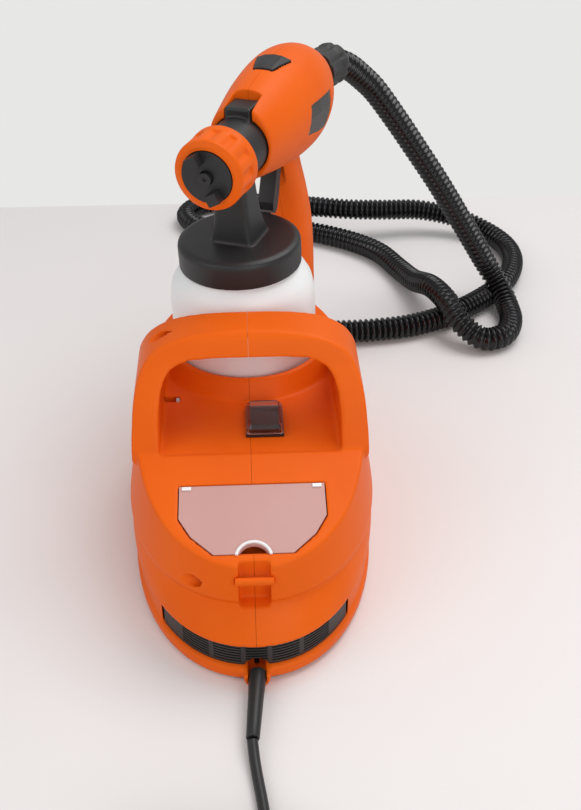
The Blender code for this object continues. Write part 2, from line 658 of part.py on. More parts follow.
def make_gun(frame):
    body = join(gun_form(), grip_form())
    hollow = cut(gun_form(-0.0028), block((-0.05, -0.02, 0.20), (0.05, 0.024, 0.32)))
    deep = [(z, f + 0.0035, r - 0.0065, h - 0.0035) for z, f, r, h in GRIP_LEVELS[:-1]]
    deep[-1] = (0.0920, deep[-1][1], deep[-1][2], deep[-1][3])
    hollow = join(hollow, grip_form(0.0, deep))
    u, z = GUN_SCREW
    hollow = cut(hollow, rod((-0.04, u, z), (0.04, u, z), 0.0055, segments=16))
    hollow = cut(hollow, rod((0, 0.0, GUN_Z), (0, 0.066, GUN_Z), BARREL_R + 0.0025, segments=40))
    body = cut(body, hollow)
    body = cut(body, rod((0, -0.02, GUN_Z), (0, 0.0600, GUN_Z), BARREL_R + 0.0005, segments=40))
    body = cut(body, rod((0, 0.04, GUN_Z), (0, 0.0700, GUN_Z), 0.0042, segments=16))
    body = cut(body, block((-0.0100, -0.02, GUN_Z + 0.012), (0.0100, 0.031, 0.31)))
    body = cut(body, rod((0, 0.140, BODY_Z), (0, 0.19, BODY_Z), 0.0110, segments=32))
    slot = [(0.0520, 0.200), (0.0520, 0.2400), (0.0800, 0.2400), (0.0800, 0.222), (0.0755, 0.200)]
    body = cut(body, prism(slot, -0.0068, 0.0068, "X"))
    body = cut(body, rod((-0.0105, *TRIGGER_PIVOT), (0.0105, *TRIGGER_PIVOT), 0.0019, segments=12))
    button_hole = prism([(x * 1.05, u + (0.0005 if u > 0.07 else -0.0005)) for x, u in BUTTON], 0.2900, 0.32)
    body = cut(body, button_hole)
    body = cut(body, rod((-0.05, u, z), (-0.020, u, z), 0.0036, segments=16))
    body = cut(body, rod((-0.05, u, z), (0.012, u, z), 0.0018, segments=12))
    pocket = strip_zone(0.0032, 0.0085, 0.0)
    strip = boolean(grip_form(0.0005), strip_zone(0.0029, 0.0082, GAP), "INTERSECT")
    badge_shape = ((0.0650, 0.2500), (0.1050, 0.2420), (0.1100, 0.2520), (0.1100, 0.2700), (0.0705, 0.2710))
    badge_zone = prism(list(badge_shape), 0.02, 0.06, "X")
    centre_u = sum(u for u, z in badge_shape) / len(badge_shape)
    centre_z = sum(z for u, z in badge_shape) / len(badge_shape)
    wide = [(centre_u + (u - centre_u) * 1.04, centre_z + (z - centre_z) * 1.06) for u, z in badge_shape]
    body = cut(body, boolean(cut(gun_form(0.01), gun_form(-0.0014)), prism(wide, 0.02, 0.06, "X"), "INTERSECT"))
    badge = boolean(cut(gun_form(-0.0003), gun_form(-0.0011)), badge_zone, "INTERSECT")
    body = cut(body, pocket)
    left, right = halves(body)
    keep(left, "gun_left_shell", "orange_plastic", frame)
    keep(right, "gun_right_shell", "orange_plastic", frame)
    keep(badge, "side_badge", "badge_plastic", frame)
    keep(strip, "grip_strip", "rubber", frame)

    cap_zone = prism(list(BUTTON), 0.2885, 0.32)
    button = boolean(cut(gun_form(0.0008), gun_form(-0.0030)), cap_zone, "INTERSECT")
    keep(button, "latch_button", "black_plastic", frame)
    spring = turned([(0.0032, 0.2945), (0.0032, 0.2880), (0.0022, 0.2880), (0.0022, 0.2945)],
                    (0, 0.0735, 0), "Z", 16)
    keep(spring, "latch_spring", "steel", frame)

    trigger_side = [(0.0640, 0.2290), (0.0575, 0.2130), (0.0515, 0.2000), (0.0510, 0.1940), (0.0545, 0.1905),
                    (0.0595, 0.1930), (0.0650, 0.2060), (0.0710, 0.2250), (0.0740, 0.2370), (0.0670, 0.2385)]
    trigger = prism(trigger_side, -0.0062, 0.0062, "X")
    trigger = cut(trigger, rod((-0.02, *TRIGGER_PIVOT), (0.02, *TRIGGER_PIVOT), 0.0019, segments=12))
    keep(trigger, "trigger", "black_plastic", frame)
    pin = rod((-0.0100, *TRIGGER_PIVOT), (0.0100, *TRIGGER_PIVOT), 0.0015, segments=12)
    keep(pin, "trigger_pin", "steel", frame)
    screw("gun_screw", (-0.0222, u, z), (0.0100, u, z), 0.0031, 0.0014, 0.0019, parent=frame)

    collar = [(0.0160, 0.0440), (0.0170, 0.0400), (0.0170, 0.0350), (0.0155, 0.0320), (0.0155, 0.0100),
              (0.0170, 0.0060), (0.0170, 0.0022), (0.0090, 0.0022), (0.0090, -0.0060), (0.0072, -0.0060),
              (0.0072, 0.0380), (0.0118, 0.0380), (0.0118, 0.0440)]
    collar = moved(turned(collar, (0, 0, 0), "Y", 24), (0, *COLLAR_AT), (-COLLAR_DROOP, 0, 0))
    keep(collar, "hose_collar_gun", "grille_plastic", frame)


def make_spray_head(frame):
    barrel = rod((0, -0.0230, GUN_Z), (0, 0.0595, GUN_Z), BARREL_R, segments=32)
    neck = loft([[(x, u, z) for x, u in rounded(w, d, 0.004, (0, mid))] for w, d, mid, z in (
        (0.0340, 0.0360, 0.0020, LID_Z[1] - 0.003), (0.0310, 0.0330, 0.0020, LID_Z[1] + 0.002),
        (0.0270, 0.0270, 0.0000, 0.2150), (0.0240, 0.0220, -0.0020, 0.2440), (0.0240, 0.0220, -0.0020, 0.2560))])
    low, high = LID_Z
    lid = turned([(0.0, high), (0.0400, high), (0.0435, high - 0.002), (LID_R, high - 0.004), (LID_R, low - 0.001),
                  (0.0424, low - 0.001), (0.0424, high - 0.0035), (0.0, high - 0.0035)], (0, 0, 0), "Z", 36)
    head = join(join(barrel, neck), lid)
    tongue = block((-0.0092, 0.010, GUN_Z + 0.017), (0.0092, 0.0292, GUN_Z + 0.0265))
    head = join(head, tongue)
    head = cut(head, rod((0, -0.03, GUN_Z), (0, 0.0580, GUN_Z), 0.0165, segments=24))
    rib = rod((0, -0.0200, GUN_Z), (0, 0.0540, GUN_Z), 0.0072, segments=16)
    web = block((-0.0020, -0.0180, GUN_Z - 0.0170), (0.0020, 0.0520, GUN_Z))
    head = join(head, join(rib, web))
    head = cut(head, rod((0, -0.03, GUN_Z), (0, 0.07, GUN_Z), 0.0028, segments=16))
    head = cut(head, rod((0, 0.001, 0.185), (0, 0.001, GUN_Z), 0.0034, segments=16))
    keep(head, "spray_head", "black_plastic", frame)

    gasket = turned([(0.0390, LID_Z[1] - 0.0039), (0.0390, LID_Z[1] - 0.0054), (0.0340, LID_Z[1] - 0.0054),
                     (0.0340, LID_Z[1] - 0.0039)], (0, 0, 0), "Z", 32)
    keep(gasket, "lid_gasket", "rubber", frame)
    straw = tube([(0, 0.001, 0.1990), (0, 0.001, 0.120), (0, -0.003, 0.098), (0, -0.012, 0.0790)], 0.0030)
    bore = tube([(0, 0.001, 0.2050), (0, 0.001, 0.120), (0, -0.003, 0.098), (0, -0.0128, 0.0770)], 0.0019)
    straw = cut(straw, bore)
    keep(straw, "suction_tube", "frosted_plastic", frame)

    nut = turned([(0.0205, -0.0430), (NUT_R, -0.0400), (NUT_R, -0.0235), (0.0250, -0.0190), (0.0250, -0.0165),
                  (0.0219, -0.0165), (0.0219, -0.0235), (0.0195, -0.0370), (0.0182, -0.0380),
                  (0.0182, -0.0430)][::-1],
                 (0, 0, GUN_Z), "Y", 36)
    flutes = None
    for k in range(12):
        angle = 2 * math.pi * (k + 0.5) / 12
        flute = rod((math.cos(angle) * 0.0262, -0.050, math.sin(angle) * 0.0262),
                    (math.cos(angle) * 0.0262, -0.0215, math.sin(angle) * 0.0262), 0.0026, segments=8)
        flute = moved(flute, (0, 0, GUN_Z))
        flutes = flute if flutes is None else merged(flutes, flute)
    keep(cut(nut, flutes), "nozzle_nut", "orange_plastic", frame)

    cap = turned([(0.0178, -0.0440), (0.0178, -0.0300), (0.0148, -0.0300), (0.0148, -0.0400), (0.0050, -0.0400),
                  (0.0050, -0.0440)][::-1], (0, 0, GUN_Z), "Y", 32)
    for side in (1, -1):
        low, high = sorted((side * 0.0095, side * 0.0172))
        ear = block((-0.0042, -0.0520, low), (0.0042, -0.0410, high))
        ear = moved(ear, (0, 0, GUN_Z), (0, math.radians(-28), 0))
        cap = join(cap, ear)
    keep(cap, "air_cap", "black_plastic", frame)

    nozzle = turned([(0.0045, -0.0475), (0.0045, -0.0380), (0.0085, -0.0365), (0.0085, -0.0215), (0.0021, -0.0215),
                     (0.0021, -0.0430), (0.0012, -0.0475)][::-1], (0, 0, GUN_Z), "Y", 24)
    keep(nozzle, "fluid_nozzle", "black_plastic", frame)
    needle = turned([(0.0, -0.0485), (0.0008, -0.0465), (0.0016, -0.0430), (0.0016, 0.0655), (0.0030, 0.0660),
                     (0.0030, 0.0690), (0.0, 0.0690)][::-1], (0, 0, GUN_Z), "Y", 16)
    keep(needle, "needle", "steel", frame)
    spring = turned([(0.0044, 0.0840), (0.0044, 0.0694), (0.0034, 0.0694), (0.0034, 0.0840)],
                    (0, 0, GUN_Z), "Y", 16)
    keep(spring, "needle_spring", "steel", frame)

    cup = [(0.0000, CUP_BASE), (0.0480, CUP_BASE), (0.0520, CUP_BASE + 0.003), (CUP_R, CUP_BASE + 0.008),
           (CUP_R, 0.1550), (0.0515, 0.1640), (0.0475, 0.1705), (0.0425, 0.1755), (0.0416, 0.1765),
           (0.0416, 0.1915), (0.0396, 0.1915),
           (0.0396, 0.1755), (0.0455, 0.1690), (0.0495, 0.1630), (CUP_R - CUP_WALL, 0.1545),
           (CUP_R - CUP_WALL, CUP_BASE + 0.009), (0.0505, CUP_BASE + 0.005), (0.0470, CUP_BASE + 0.0022),
           (0.0000, CUP_BASE + 0.0022)]
    keep(turned(cup[::-1], (0, 0, 0), "Z", 32), "paint_cup", "cup_plastic", frame)


# The hose and the mains lead

HOSE_ROUTE = (
    (0.0840, 0.2790, 0.2565), (0.0930, 0.2875, 0.2500), (0.1040, 0.2960, 0.2390), (0.1180, 0.3040, 0.2235),
    (0.1400, 0.3110, 0.1930), (0.1600, 0.3145, 0.1640), (0.1820, 0.3160, 0.1320), (0.2050, 0.3175, 0.0960),
    (0.2250, 0.3170, 0.0640), (0.2400, 0.3150, 0.0400), (0.2510, 0.3050, 0.0240),
    (0.2560, 0.2850, 0.0130), (0.2540, 0.2590, 0.0115), (0.2420, 0.2350, 0.0115), (0.2200, 0.2270, 0.0130),
    (0.2010, 0.2400, 0.0230), (0.1900, 0.2630, 0.0340), (0.1800, 0.2930, 0.0330), (0.1700, 0.3320, 0.0180),
    (0.1600, 0.3680, 0.0115), (0.1430, 0.4050, 0.0115), (0.1150, 0.4330, 0.0115), (0.0750, 0.4560, 0.0115),
    (0.0300, 0.4680, 0.0115), (-0.0150, 0.4680, 0.0115), (-0.0500, 0.4760, 0.0115), (-0.0660, 0.5050, 0.0115),
    (-0.0480, 0.5340, 0.0115), (-0.0100, 0.5380, 0.0125), (0.0350, 0.5080, 0.0200), (0.0750, 0.4760, 0.0330),
    (0.1150, 0.4640, 0.0345), (0.1550, 0.4660, 0.0320), (0.1950, 0.4700, 0.0290), (0.2350, 0.4640, 0.0220),
    (0.2660, 0.4440, 0.0140), (0.2820, 0.4120, 0.0115), (0.2810, 0.3750, 0.0115), (0.2640, 0.3360, 0.0115),
    (0.2330, 0.3020, 0.0115), (0.1960, 0.2740, 0.0115), (0.1600, 0.2570, 0.0115), (0.1250, 0.2500, 0.0115),
    (0.0900, 0.2470, 0.0120), (0.0560, 0.2410, 0.0160), (0.0270, 0.2250, 0.0260), (0.0080, 0.2020, 0.0370),
    (0.0000, 0.1800, 0.0415), (0.0000, 0.1672, 0.0420),
)
RELIEF_END = (-0.0038, -0.2030, 0.0080)
CORD_ROUTE = (
    (-0.0040, -0.2041, 0.0078), (-0.0037, -0.2110, 0.0064), (-0.0024, -0.2190, 0.0044), (-0.0010, -0.2300, 0.0036),
    (0.0008, -0.2420, 0.0036), (0.0026, -0.2570, 0.0036), (0.0044, -0.2720, 0.0036), (0.0062, -0.2870, 0.0036),
    (0.0066, -0.2900, 0.0036),
)
COIL_CENTRE = (-0.0348, -0.3219)
COIL_RADII = (0.0315, 0.0485)
COIL_TOP = 0.0275


def make_hose(frame):
    u, z = COLLAR_AT
    down = math.sin(COLLAR_DROOP)
    start = [frame.matrix_world @ Vector((0, u + reach * math.cos(COLLAR_DROOP), z - reach * down))
             for reach in (0.0385, 0.0460)]
    keep(tube([start[0], *smooth_path((start[1], *HOSE_ROUTE), 0.0285)], HOSE_R, 2), "air_hose", "hose_plastic")
    collar = [(0.0178, 0.1665), (0.0178, 0.1604), (0.0156, 0.1604), (0.0156, 0.1490), (0.0120, 0.1490),
              (0.0120, 0.1665)]
    keep(turned(collar, (0, 0, PORT_Z), "Y", 24), "hose_collar_unit", "grille_plastic")


def make_mains_lead():
    relief = turned([(0.0, -0.1430), (0.0085, -0.1430), (0.0085, -0.1460), (0.0056, -0.1460),
                     (0.0056, -0.1600), (0.0, -0.1600)], (0, 0, 0.0095), "Y", 24)
    relief = join(relief, rod((0, -0.1585, 0.0095), RELIEF_END, 0.0056, 0.0042, 24))
    relief = cut(relief, rod((0, -0.14, 0.0095), (0, -0.1590, 0.0095), 0.0036, segments=16))
    keep(relief, "strain_relief", "rubber")
    clamp = block((-0.0110, -0.1330, 0.0041), (0.0110, -0.1250, 0.0130))
    clamp = cut(clamp, rod((0, -0.15, 0.0095), (0, -0.11, 0.0095), 0.0037, segments=16))
    keep(clamp, "cord_clamp", "black_plastic")
    keep(tube(smooth_path(CORD_ROUTE, 0.0100), CORD_R, 2), "power_cord", "rubber")
    x, y = COIL_CENTRE
    inner, outer = COIL_RADII
    coil = turned([(outer, COIL_TOP), (outer, 0.0003), (inner, 0.0003), (inner, COIL_TOP)], (x, y, 0), "Z", 28)
    keep(coil, "power_cord_coil", "rubber")
    sections = ((0.030, 0.009, 0.009), (0.024, 0.010, 0.010), (0.012, 0.014, 0.012), (-0.002, 0.024, 0.019),
                (-0.010, 0.027, 0.022), (-0.014, 0.027, 0.022))
    plug = loft([[(px + x + 0.075, y + v, pz + 0.0113) for px, pz in rounded(w, h, 0.004)]
                 for v, w, h in sections])
    for side in (-1, 1):
        at = x + 0.075 + side * 0.0063
        plug = join(plug, block((at - 0.0008, y - 0.031, 0.0080), (at + 0.0008, y - 0.012, 0.0143)))
    keep(plug, "mains_plug", "rubber")


def build_materials():
    material("orange_plastic", (0.80, 0.13, 0.015), 0.42)
    material("black_plastic", (0.012, 0.012, 0.013), 0.45)
    material("grille_plastic", (0.055, 0.052, 0.048), 0.50)
    material("hose_plastic", (0.008, 0.008, 0.009), 0.25)
    material("rubber", (0.014, 0.014, 0.015), 0.65)
    material("foam", (0.03, 0.03, 0.03), 0.95)
    material("frosted_plastic", (0.80, 0.66, 0.62), 0.45, alpha=0.55)
    material("clear_plastic", (0.75, 0.77, 0.80), 0.10, alpha=0.30)
    material("cup_plastic", (0.82, 0.82, 0.85), 0.40, alpha=0.80)
    material("badge_plastic", (0.035, 0.030, 0.028), 0.40)
    material("steel", (0.55, 0.55, 0.56), 0.30, 1.0)
    material("aluminium", (0.70, 0.70, 0.72), 0.35, 1.0)


def main():
    clear_scene()
    build_materials()
    make_shells()
    make_base()
    make_unit_screws()
    make_strap_bar()
    make_grille()
    make_accessory_bin()
    make_switch()
    make_turbine()
    frame = bpy.data.objects.new("gun_frame", None)
    COLLECTION.objects.link(frame)
    lean = Matrix.Translation((0, CUP_Y, CUP_BASE + GUN_LIFT)) @ Matrix.Rotation(GUN_LEAN, 4, "Y")
    frame.matrix_world = lean @ Matrix.Rotation(GUN_TURN, 4, "Z") @ Matrix.Translation((0, 0, -CUP_BASE))
    bpy.context.view_layer.update()
    make_gun(frame)
    make_spray_head(frame)
    make_hose(frame)
    make_mains_lead()
    for obj in list(GUIDES.objects):
        drop(obj)


main()
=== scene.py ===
"""The looks of the turbine paint sprayer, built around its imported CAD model.

Metres, +Z up, in the row frame of the CAD part. The large mouldings are made again at a finer
resolution from the same driving dimensions, with moulded fillets; small CAD nodes stay and get
softened edges and finished materials.
"""

import json
import math

import bmesh
import bpy
from mathutils import Matrix, Vector


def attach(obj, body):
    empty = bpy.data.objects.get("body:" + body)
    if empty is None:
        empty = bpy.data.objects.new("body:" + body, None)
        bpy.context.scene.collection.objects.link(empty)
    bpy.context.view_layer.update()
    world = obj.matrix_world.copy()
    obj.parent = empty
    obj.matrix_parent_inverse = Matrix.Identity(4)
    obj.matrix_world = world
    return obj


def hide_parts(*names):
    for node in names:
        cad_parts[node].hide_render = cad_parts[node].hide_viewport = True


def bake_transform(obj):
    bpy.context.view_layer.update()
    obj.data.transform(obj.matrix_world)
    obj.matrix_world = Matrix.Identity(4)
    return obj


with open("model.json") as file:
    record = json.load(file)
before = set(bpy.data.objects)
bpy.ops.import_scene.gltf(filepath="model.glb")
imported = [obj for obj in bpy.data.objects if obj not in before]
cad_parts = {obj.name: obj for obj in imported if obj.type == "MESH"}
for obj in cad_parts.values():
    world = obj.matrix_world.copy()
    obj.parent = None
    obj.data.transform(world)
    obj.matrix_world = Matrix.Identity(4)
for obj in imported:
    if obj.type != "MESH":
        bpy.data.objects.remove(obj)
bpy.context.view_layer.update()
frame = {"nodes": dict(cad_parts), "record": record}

# Dimensions repeated from the CAD part
UNIT_MID_Y = -0.010
NOSE_POWER = 2.15
BAND_Z = (0.0125, 0.030)
LEDGE_Z = 0.056
RIM_Z = 0.116
DECK_Z = 0.102
FOLD = (-0.046, 0.104)
TOP_FRONT = (-0.131, 0.080)
TOP_SLOPE = math.atan2(FOLD[1] - TOP_FRONT[1], FOLD[0] - TOP_FRONT[0])
CRADLE_R = 0.0565
ARM_INNER = 0.061
NOTCH_HALF = 0.010
STRAP_BAR = (-0.1335, 0.0705)
PORT_Z = 0.042
CUP_Y = 0.082
CUP_R = 0.0533
CUP_BASE = 0.0705
LID_R = 0.0443
LID_Z = (0.1785, 0.1975)
GUN_Z = 0.2605
BODY_Z = GUN_Z + 0.0010
BARREL_R = 0.0205
NUT_R = 0.0245
HOSE_R = 0.0112
CORD_R = 0.0034
SEAM = 0.00010
COLLAR_AT = (0.1600, 0.2605)
COLLAR_DROOP = math.radians(6.0)
GUN = (Matrix.Translation((0, CUP_Y, CUP_BASE + 0.0015)) @ Matrix.Rotation(math.radians(-1.9), 4, "Y")
       @ Matrix.Rotation(math.radians(-23.5), 4, "Z") @ Matrix.Translation((0, 0, -CUP_BASE)))


# Mesh helpers

def mesh_object(name, verts, faces):
    mesh = bpy.data.meshes.new(name)
    mesh.from_pydata([tuple(v) for v in verts], [], faces)
    mesh.validate()
    obj = bpy.data.objects.new(name, mesh)
    bpy.context.scene.collection.objects.link(obj)
    bm = bmesh.new()
    bm.from_mesh(mesh)
    bmesh.ops.recalc_face_normals(bm, faces=bm.faces)
    bm.to_mesh(mesh)
    bm.free()
    return obj


def drop(*objects):
    for obj in objects:
        bpy.data.objects.remove(obj, do_unlink=True)


def baked(obj):
    bpy.context.view_layer.update()
    graph = bpy.context.evaluated_depsgraph_get()
    mesh = bpy.data.meshes.new_from_object(obj.evaluated_get(graph))
    mesh.transform(obj.matrix_world)
    new = bpy.data.objects.new(obj.name, mesh)
    name = obj.name
    drop(obj)
    new.name = name
    bpy.context.scene.collection.objects.link(new)
    return new


def boolean(obj, tool, operation="DIFFERENCE"):
    mod = obj.modifiers.new("boolean", "BOOLEAN")
    mod.operation = operation
    mod.solver = "MANIFOLD"
    mod.object = tool
    result = baked(obj)
    drop(tool)
    return result


def cut(obj, *tools):
    for tool in tools:
        obj = boolean(obj, tool)
    return obj


def join(obj, *tools):
    for tool in tools:
        obj = boolean(obj, tool, "UNION")
    return obj


def remeshed(obj, voxel, rounds, zone=None):
    """Even quads over a solid, then relaxed, which turns its hard edges into moulded fillets."""
    mod = obj.modifiers.new("remesh", "REMESH")
    mod.mode = "VOXEL"
    mod.voxel_size = voxel
    obj = baked(obj)
    mod = obj.modifiers.new("relax", "SMOOTH")
    mod.factor = 0.5
    mod.iterations = rounds
    if zone:
        group = obj.vertex_groups.new(name="zone")
        for vertex in obj.data.vertices:
            group.add([vertex.index], zone(vertex.co), "REPLACE")
        mod.vertex_group = "zone"
    return baked(obj)


def block(low, high, turn=None):
    low, high = Vector(low), Vector(high)
    corners = [Vector((x, y, z)) for z in (low.z, high.z) for y in (low.y, high.y) for x in (low.x, high.x)]
    if turn:
        corners = [turn @ c for c in corners]
    return mesh_object("block", corners, [(0, 2, 3, 1), (4, 5, 7, 6), (0, 1, 5, 4), (2, 6, 7, 3), (0, 4, 6, 2),
                                          (1, 3, 7, 5)])


def loft(rings, name="loft"):
    count = len(rings[0])
    verts = [p for ring in rings for p in ring]
    faces = []
    for k in range(len(rings) - 1):
        for i in range(count):
            j = (i + 1) % count
            faces.append((k * count + i, k * count + j, (k + 1) * count + j, (k + 1) * count + i))
    faces.append(tuple(range(count - 1, -1, -1)))
    faces.append(tuple(range((len(rings) - 1) * count, len(rings) * count)))
    return mesh_object(name, verts, faces)


def prism(outline, low, high, along="Z", place=None):
    """A flat outline given thickness. Along X the outline is (y, z), along Y it is (x, z)."""
    at = {"Z": lambda a, b, h: (a, b, h), "X": lambda a, b, h: (h, a, b), "Y": lambda a, b, h: (a, h, b)}[along]
    obj = loft([[at(a, b, h) for a, b in outline] for h in (low, high)])
    if place:
        obj.data.transform(place)
    return obj


def lathe(name, profile, steps=96, place=Matrix.Identity(4), along="Z", shape=None):
    """A profile of (radius, height) pairs turned about an axis; shape may change a radius round the turn."""
    closed = all(r > 0 for r, h in profile)
    verts, rows = [], []
    for r, h in profile:
        if r == 0:
            rows.append([len(verts)])
            verts.append(Vector((0, 0, h)))
            continue
        rows.append(list(range(len(verts), len(verts) + steps)))
        for k in range(steps):
            angle = 2 * math.pi * k / steps
            radius = shape(r, h, angle) if shape else r
            verts.append(Vector((radius * math.cos(angle), radius * math.sin(angle), h)))
    pairs = list(zip(rows, rows[1:])) + ([(rows[-1], rows[0])] if closed else [])
    faces = []
    for a, b in pairs:
        for k in range(steps):
            j = (k + 1) % steps
            if len(a) == 1:
                faces.append((a[0], b[j], b[k]))
            elif len(b) == 1:
                faces.append((a[k], a[j], b[0]))
            else:
                faces.append((a[k], a[j], b[j], b[k]))
    obj = mesh_object(name, verts, faces)
    turn = {"Z": Matrix.Identity(4), "Y": Matrix.Rotation(-math.pi / 2, 4, "X")}[along]
    obj.data.transform(place @ turn)
    return obj


def rod(start, end, radius, end_radius=None, steps=48, place=Matrix.Identity(4)):
    start, end = Vector(start), Vector(end)
    way = (end - start)
    turn = Matrix.Translation(start) @ way.to_track_quat("Z", "Y").to_matrix().to_4x4()
    far = radius if end_radius is None else end_radius
    return lathe("rod", [(0, 0), (radius, 0), (far, way.length), (0, way.length)], steps, place @ turn)


def smooth_path(points, spacing):
    """Points about spacing apart on a Catmull-Rom curve through the route's points."""
    route = [Vector(p) for p in points]
    route = [route[0] * 2 - route[1]] + route + [route[-1] * 2 - route[-2]]
    fine = []
    for i in range(1, len(route) - 2):
        a, b, c, d = route[i - 1:i + 3]
        for k in range(24):
            t = k / 24
            fine.append(0.5 * ((2 * b) + (c - a) * t + (2 * a - 5 * b + 4 * c - d) * t ** 2
                               + (3 * b - a - 3 * c + d) * t ** 3))
    fine.append(route[-2])
    total = sum((q - p).length for p, q in zip(fine, fine[1:]))
    steps = max(2, round(total / spacing))
    result, walked, target = [fine[0]], 0.0, total / steps
    for p, q in zip(fine, fine[1:]):
        length = (q - p).length
        while walked + length >= target - 1e-9 and len(result) < steps:
            result.append(p.lerp(q, (target - walked) / length))
            target += total / steps
        walked += length
    return result + [fine[-1]]


def swept(name, points, radius_at, sides=20):
    """A round tube along points whose radius follows the distance walked."""
    verts, faces = [], []
    way = (points[1] - points[0]).normalized()
    side = way.orthogonal().normalized()
    walked = 0.0
    for i, point in enumerate(points):
        before, after = points[max(i - 1, 0)], points[min(i + 1, len(points) - 1)]
        new_way = (after - before).normalized()
        side = (side - new_way * side.dot(new_way)).normalized()
        other = new_way.cross(side)
        if i:
            walked += (point - points[i - 1]).length
        r = radius_at(walked)
        for k in range(sides):
            angle = 2 * math.pi * k / sides
            verts.append(point + (side * math.cos(angle) + other * math.sin(angle)) * r)
    for i in range(len(points) - 1):
        for k in range(sides):
            j = (k + 1) % sides
            faces.append((i * sides + k, i * sides + j, (i + 1) * sides + j, (i + 1) * sides + k))
    faces.append(tuple(range(sides - 1, -1, -1)))
    faces.append(tuple(range((len(points) - 1) * sides, len(points) * sides)))
    return mesh_object(name, verts, faces)


def rounded(width, depth, radius, at=(0, 0), arc=8):
    points = []
    for corner, (sx, sy) in enumerate(((1, 1), (-1, 1), (-1, -1), (1, -1))):
        for k in range(arc + 1):
            angle = math.pi / 2 * (corner + k / arc)
            points.append((at[0] + sx * (width / 2 - radius) + radius * math.cos(angle),
                           at[1] + sy * (depth / 2 - radius) + radius * math.sin(angle)))
    return points


def between(levels, steps):
    """Rows of numbers read along a smooth curve through the given rows."""
    rows = [levels[0]] + list(levels) + [levels[-1]]
    result = []
    for i in range(1, len(rows) - 2):
        a, b, c, d = rows[i - 1:i + 3]
        for k in range(steps):
            t = k / steps
            result.append(tuple(
                0.5 * (2 * q + (r - p) * t + (2 * p - 5 * q + 4 * r - s) * t ** 2 + (3 * q - p - 3 * r + s) * t ** 3)
                for p, q, r, s in zip(a, b, c, d)))
    return result + [tuple(levels[-1])]


def finished(obj, name, slot, body, nodes=(), angle=40):
    """Names a piece, gives it its material and body, and hides the CAD nodes it stands for."""
    obj.name = name
    obj.data.name = name
    if obj.type == "MESH":
        obj.data.shade_smooth()
        obj.data.set_sharp_from_angle(angle=math.radians(angle))
    obj.data.materials.clear()
    obj.data.materials.append(MATERIALS[slot])
    if body:
        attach(obj, body)
    if nodes:
        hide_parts(*nodes)
    return obj


# Materials

MATERIALS = {}


def material(slot, colour, other, rough, grain=900.0, bump=0.06, spots=14.0, metallic=0.0, **sockets):
    """Moulded material: a slow colour change, fine grain in the bump and a patchy gloss."""
    mat = bpy.data.materials.new("look_" + slot)
    mat.use_nodes = True
    nodes, links = mat.node_tree.nodes, mat.node_tree.links
    shader = nodes["Principled BSDF"]
    place = nodes.new("ShaderNodeTexCoord")
    wide = nodes.new("ShaderNodeTexNoise")
    wide.inputs["Scale"].default_value = spots
    wide.inputs["Detail"].default_value = 3.0
    fine = nodes.new("ShaderNodeTexNoise")
    fine.inputs["Scale"].default_value = grain
    fine.inputs["Detail"].default_value = 2.0
    ramp = nodes.new("ShaderNodeValToRGB")
    ramp.color_ramp.elements[0].position = 0.30
    ramp.color_ramp.elements[0].color = (*colour, 1)
    ramp.color_ramp.elements[1].position = 0.72
    ramp.color_ramp.elements[1].color = (*other, 1)
    gloss = nodes.new("ShaderNodeMapRange")
    gloss.inputs["To Min"].default_value = rough[0]
    gloss.inputs["To Max"].default_value = rough[1]
    relief = nodes.new("ShaderNodeBump")
    relief.inputs["Strength"].default_value = bump
    relief.inputs["Distance"].default_value = 0.0006
    links.new(place.outputs["Object"], wide.inputs["Vector"])
    links.new(place.outputs["Object"], fine.inputs["Vector"])
    links.new(wide.outputs["Fac"], ramp.inputs["Fac"])
    links.new(ramp.outputs["Color"], shader.inputs["Base Color"])
    links.new(fine.outputs["Fac"], gloss.inputs["Value"])
    links.new(gloss.outputs["Result"], shader.inputs["Roughness"])
    links.new(fine.outputs["Fac"], relief.inputs["Height"])
    links.new(relief.outputs["Normal"], shader.inputs["Normal"])
    shader.inputs["Metallic"].default_value = metallic
    for name, value in sockets.items():
        shader.inputs[name.replace("_", " ")].default_value = value
    MATERIALS[slot] = mat


def build_materials():
    material("orange_plastic", (0.80, 0.115, 0.004), (0.86, 0.135, 0.006), (0.36, 0.50), 1400, 0.05,
             Specular_IOR_Level=0.12)
    material("black_plastic", (0.010, 0.010, 0.011), (0.018, 0.018, 0.019), (0.38, 0.55), 1600, 0.10)
    material("grille_plastic", (0.018, 0.017, 0.016), (0.028, 0.026, 0.024), (0.42, 0.58), 1500, 0.10)
    material("hose_plastic", (0.004, 0.004, 0.005), (0.007, 0.007, 0.008), (0.10, 0.20), 1200, 0.03,
             Specular_IOR_Level=0.40)
    material("rubber", (0.008, 0.008, 0.008), (0.015, 0.015, 0.015), (0.36, 0.50), 1800, 0.10)
    material("foam", (0.02, 0.02, 0.02), (0.05, 0.05, 0.05), (0.85, 1.0), 500, 0.6)
    material("frosted_plastic", (0.66, 0.36, 0.32), (0.70, 0.40, 0.36), (0.42, 0.55), 1500, 0.08,
             Transmission_Weight=0.15, IOR=1.45)
    material("clear_plastic", (0.86, 0.87, 0.90), (0.92, 0.93, 0.95), (0.06, 0.14), 900, 0.02,
             Transmission_Weight=1.0, IOR=1.49)
    material("cup_plastic", (0.97, 0.94, 0.92), (0.99, 0.96, 0.94), (0.30, 0.42), 1300, 0.05,
             Transmission_Weight=0.04, Subsurface_Weight=0.10, IOR=1.48)
    material("badge_plastic", (0.035, 0.030, 0.028), (0.050, 0.043, 0.040), (0.32, 0.45), 1300, 0.05)
    material("steel", (0.52, 0.52, 0.53), (0.62, 0.62, 0.63), (0.22, 0.36), 700, 0.05, metallic=1.0)
    material("aluminium", (0.66, 0.66, 0.68), (0.75, 0.75, 0.77), (0.30, 0.42), 800, 0.05, metallic=1.0)


# The floor unit

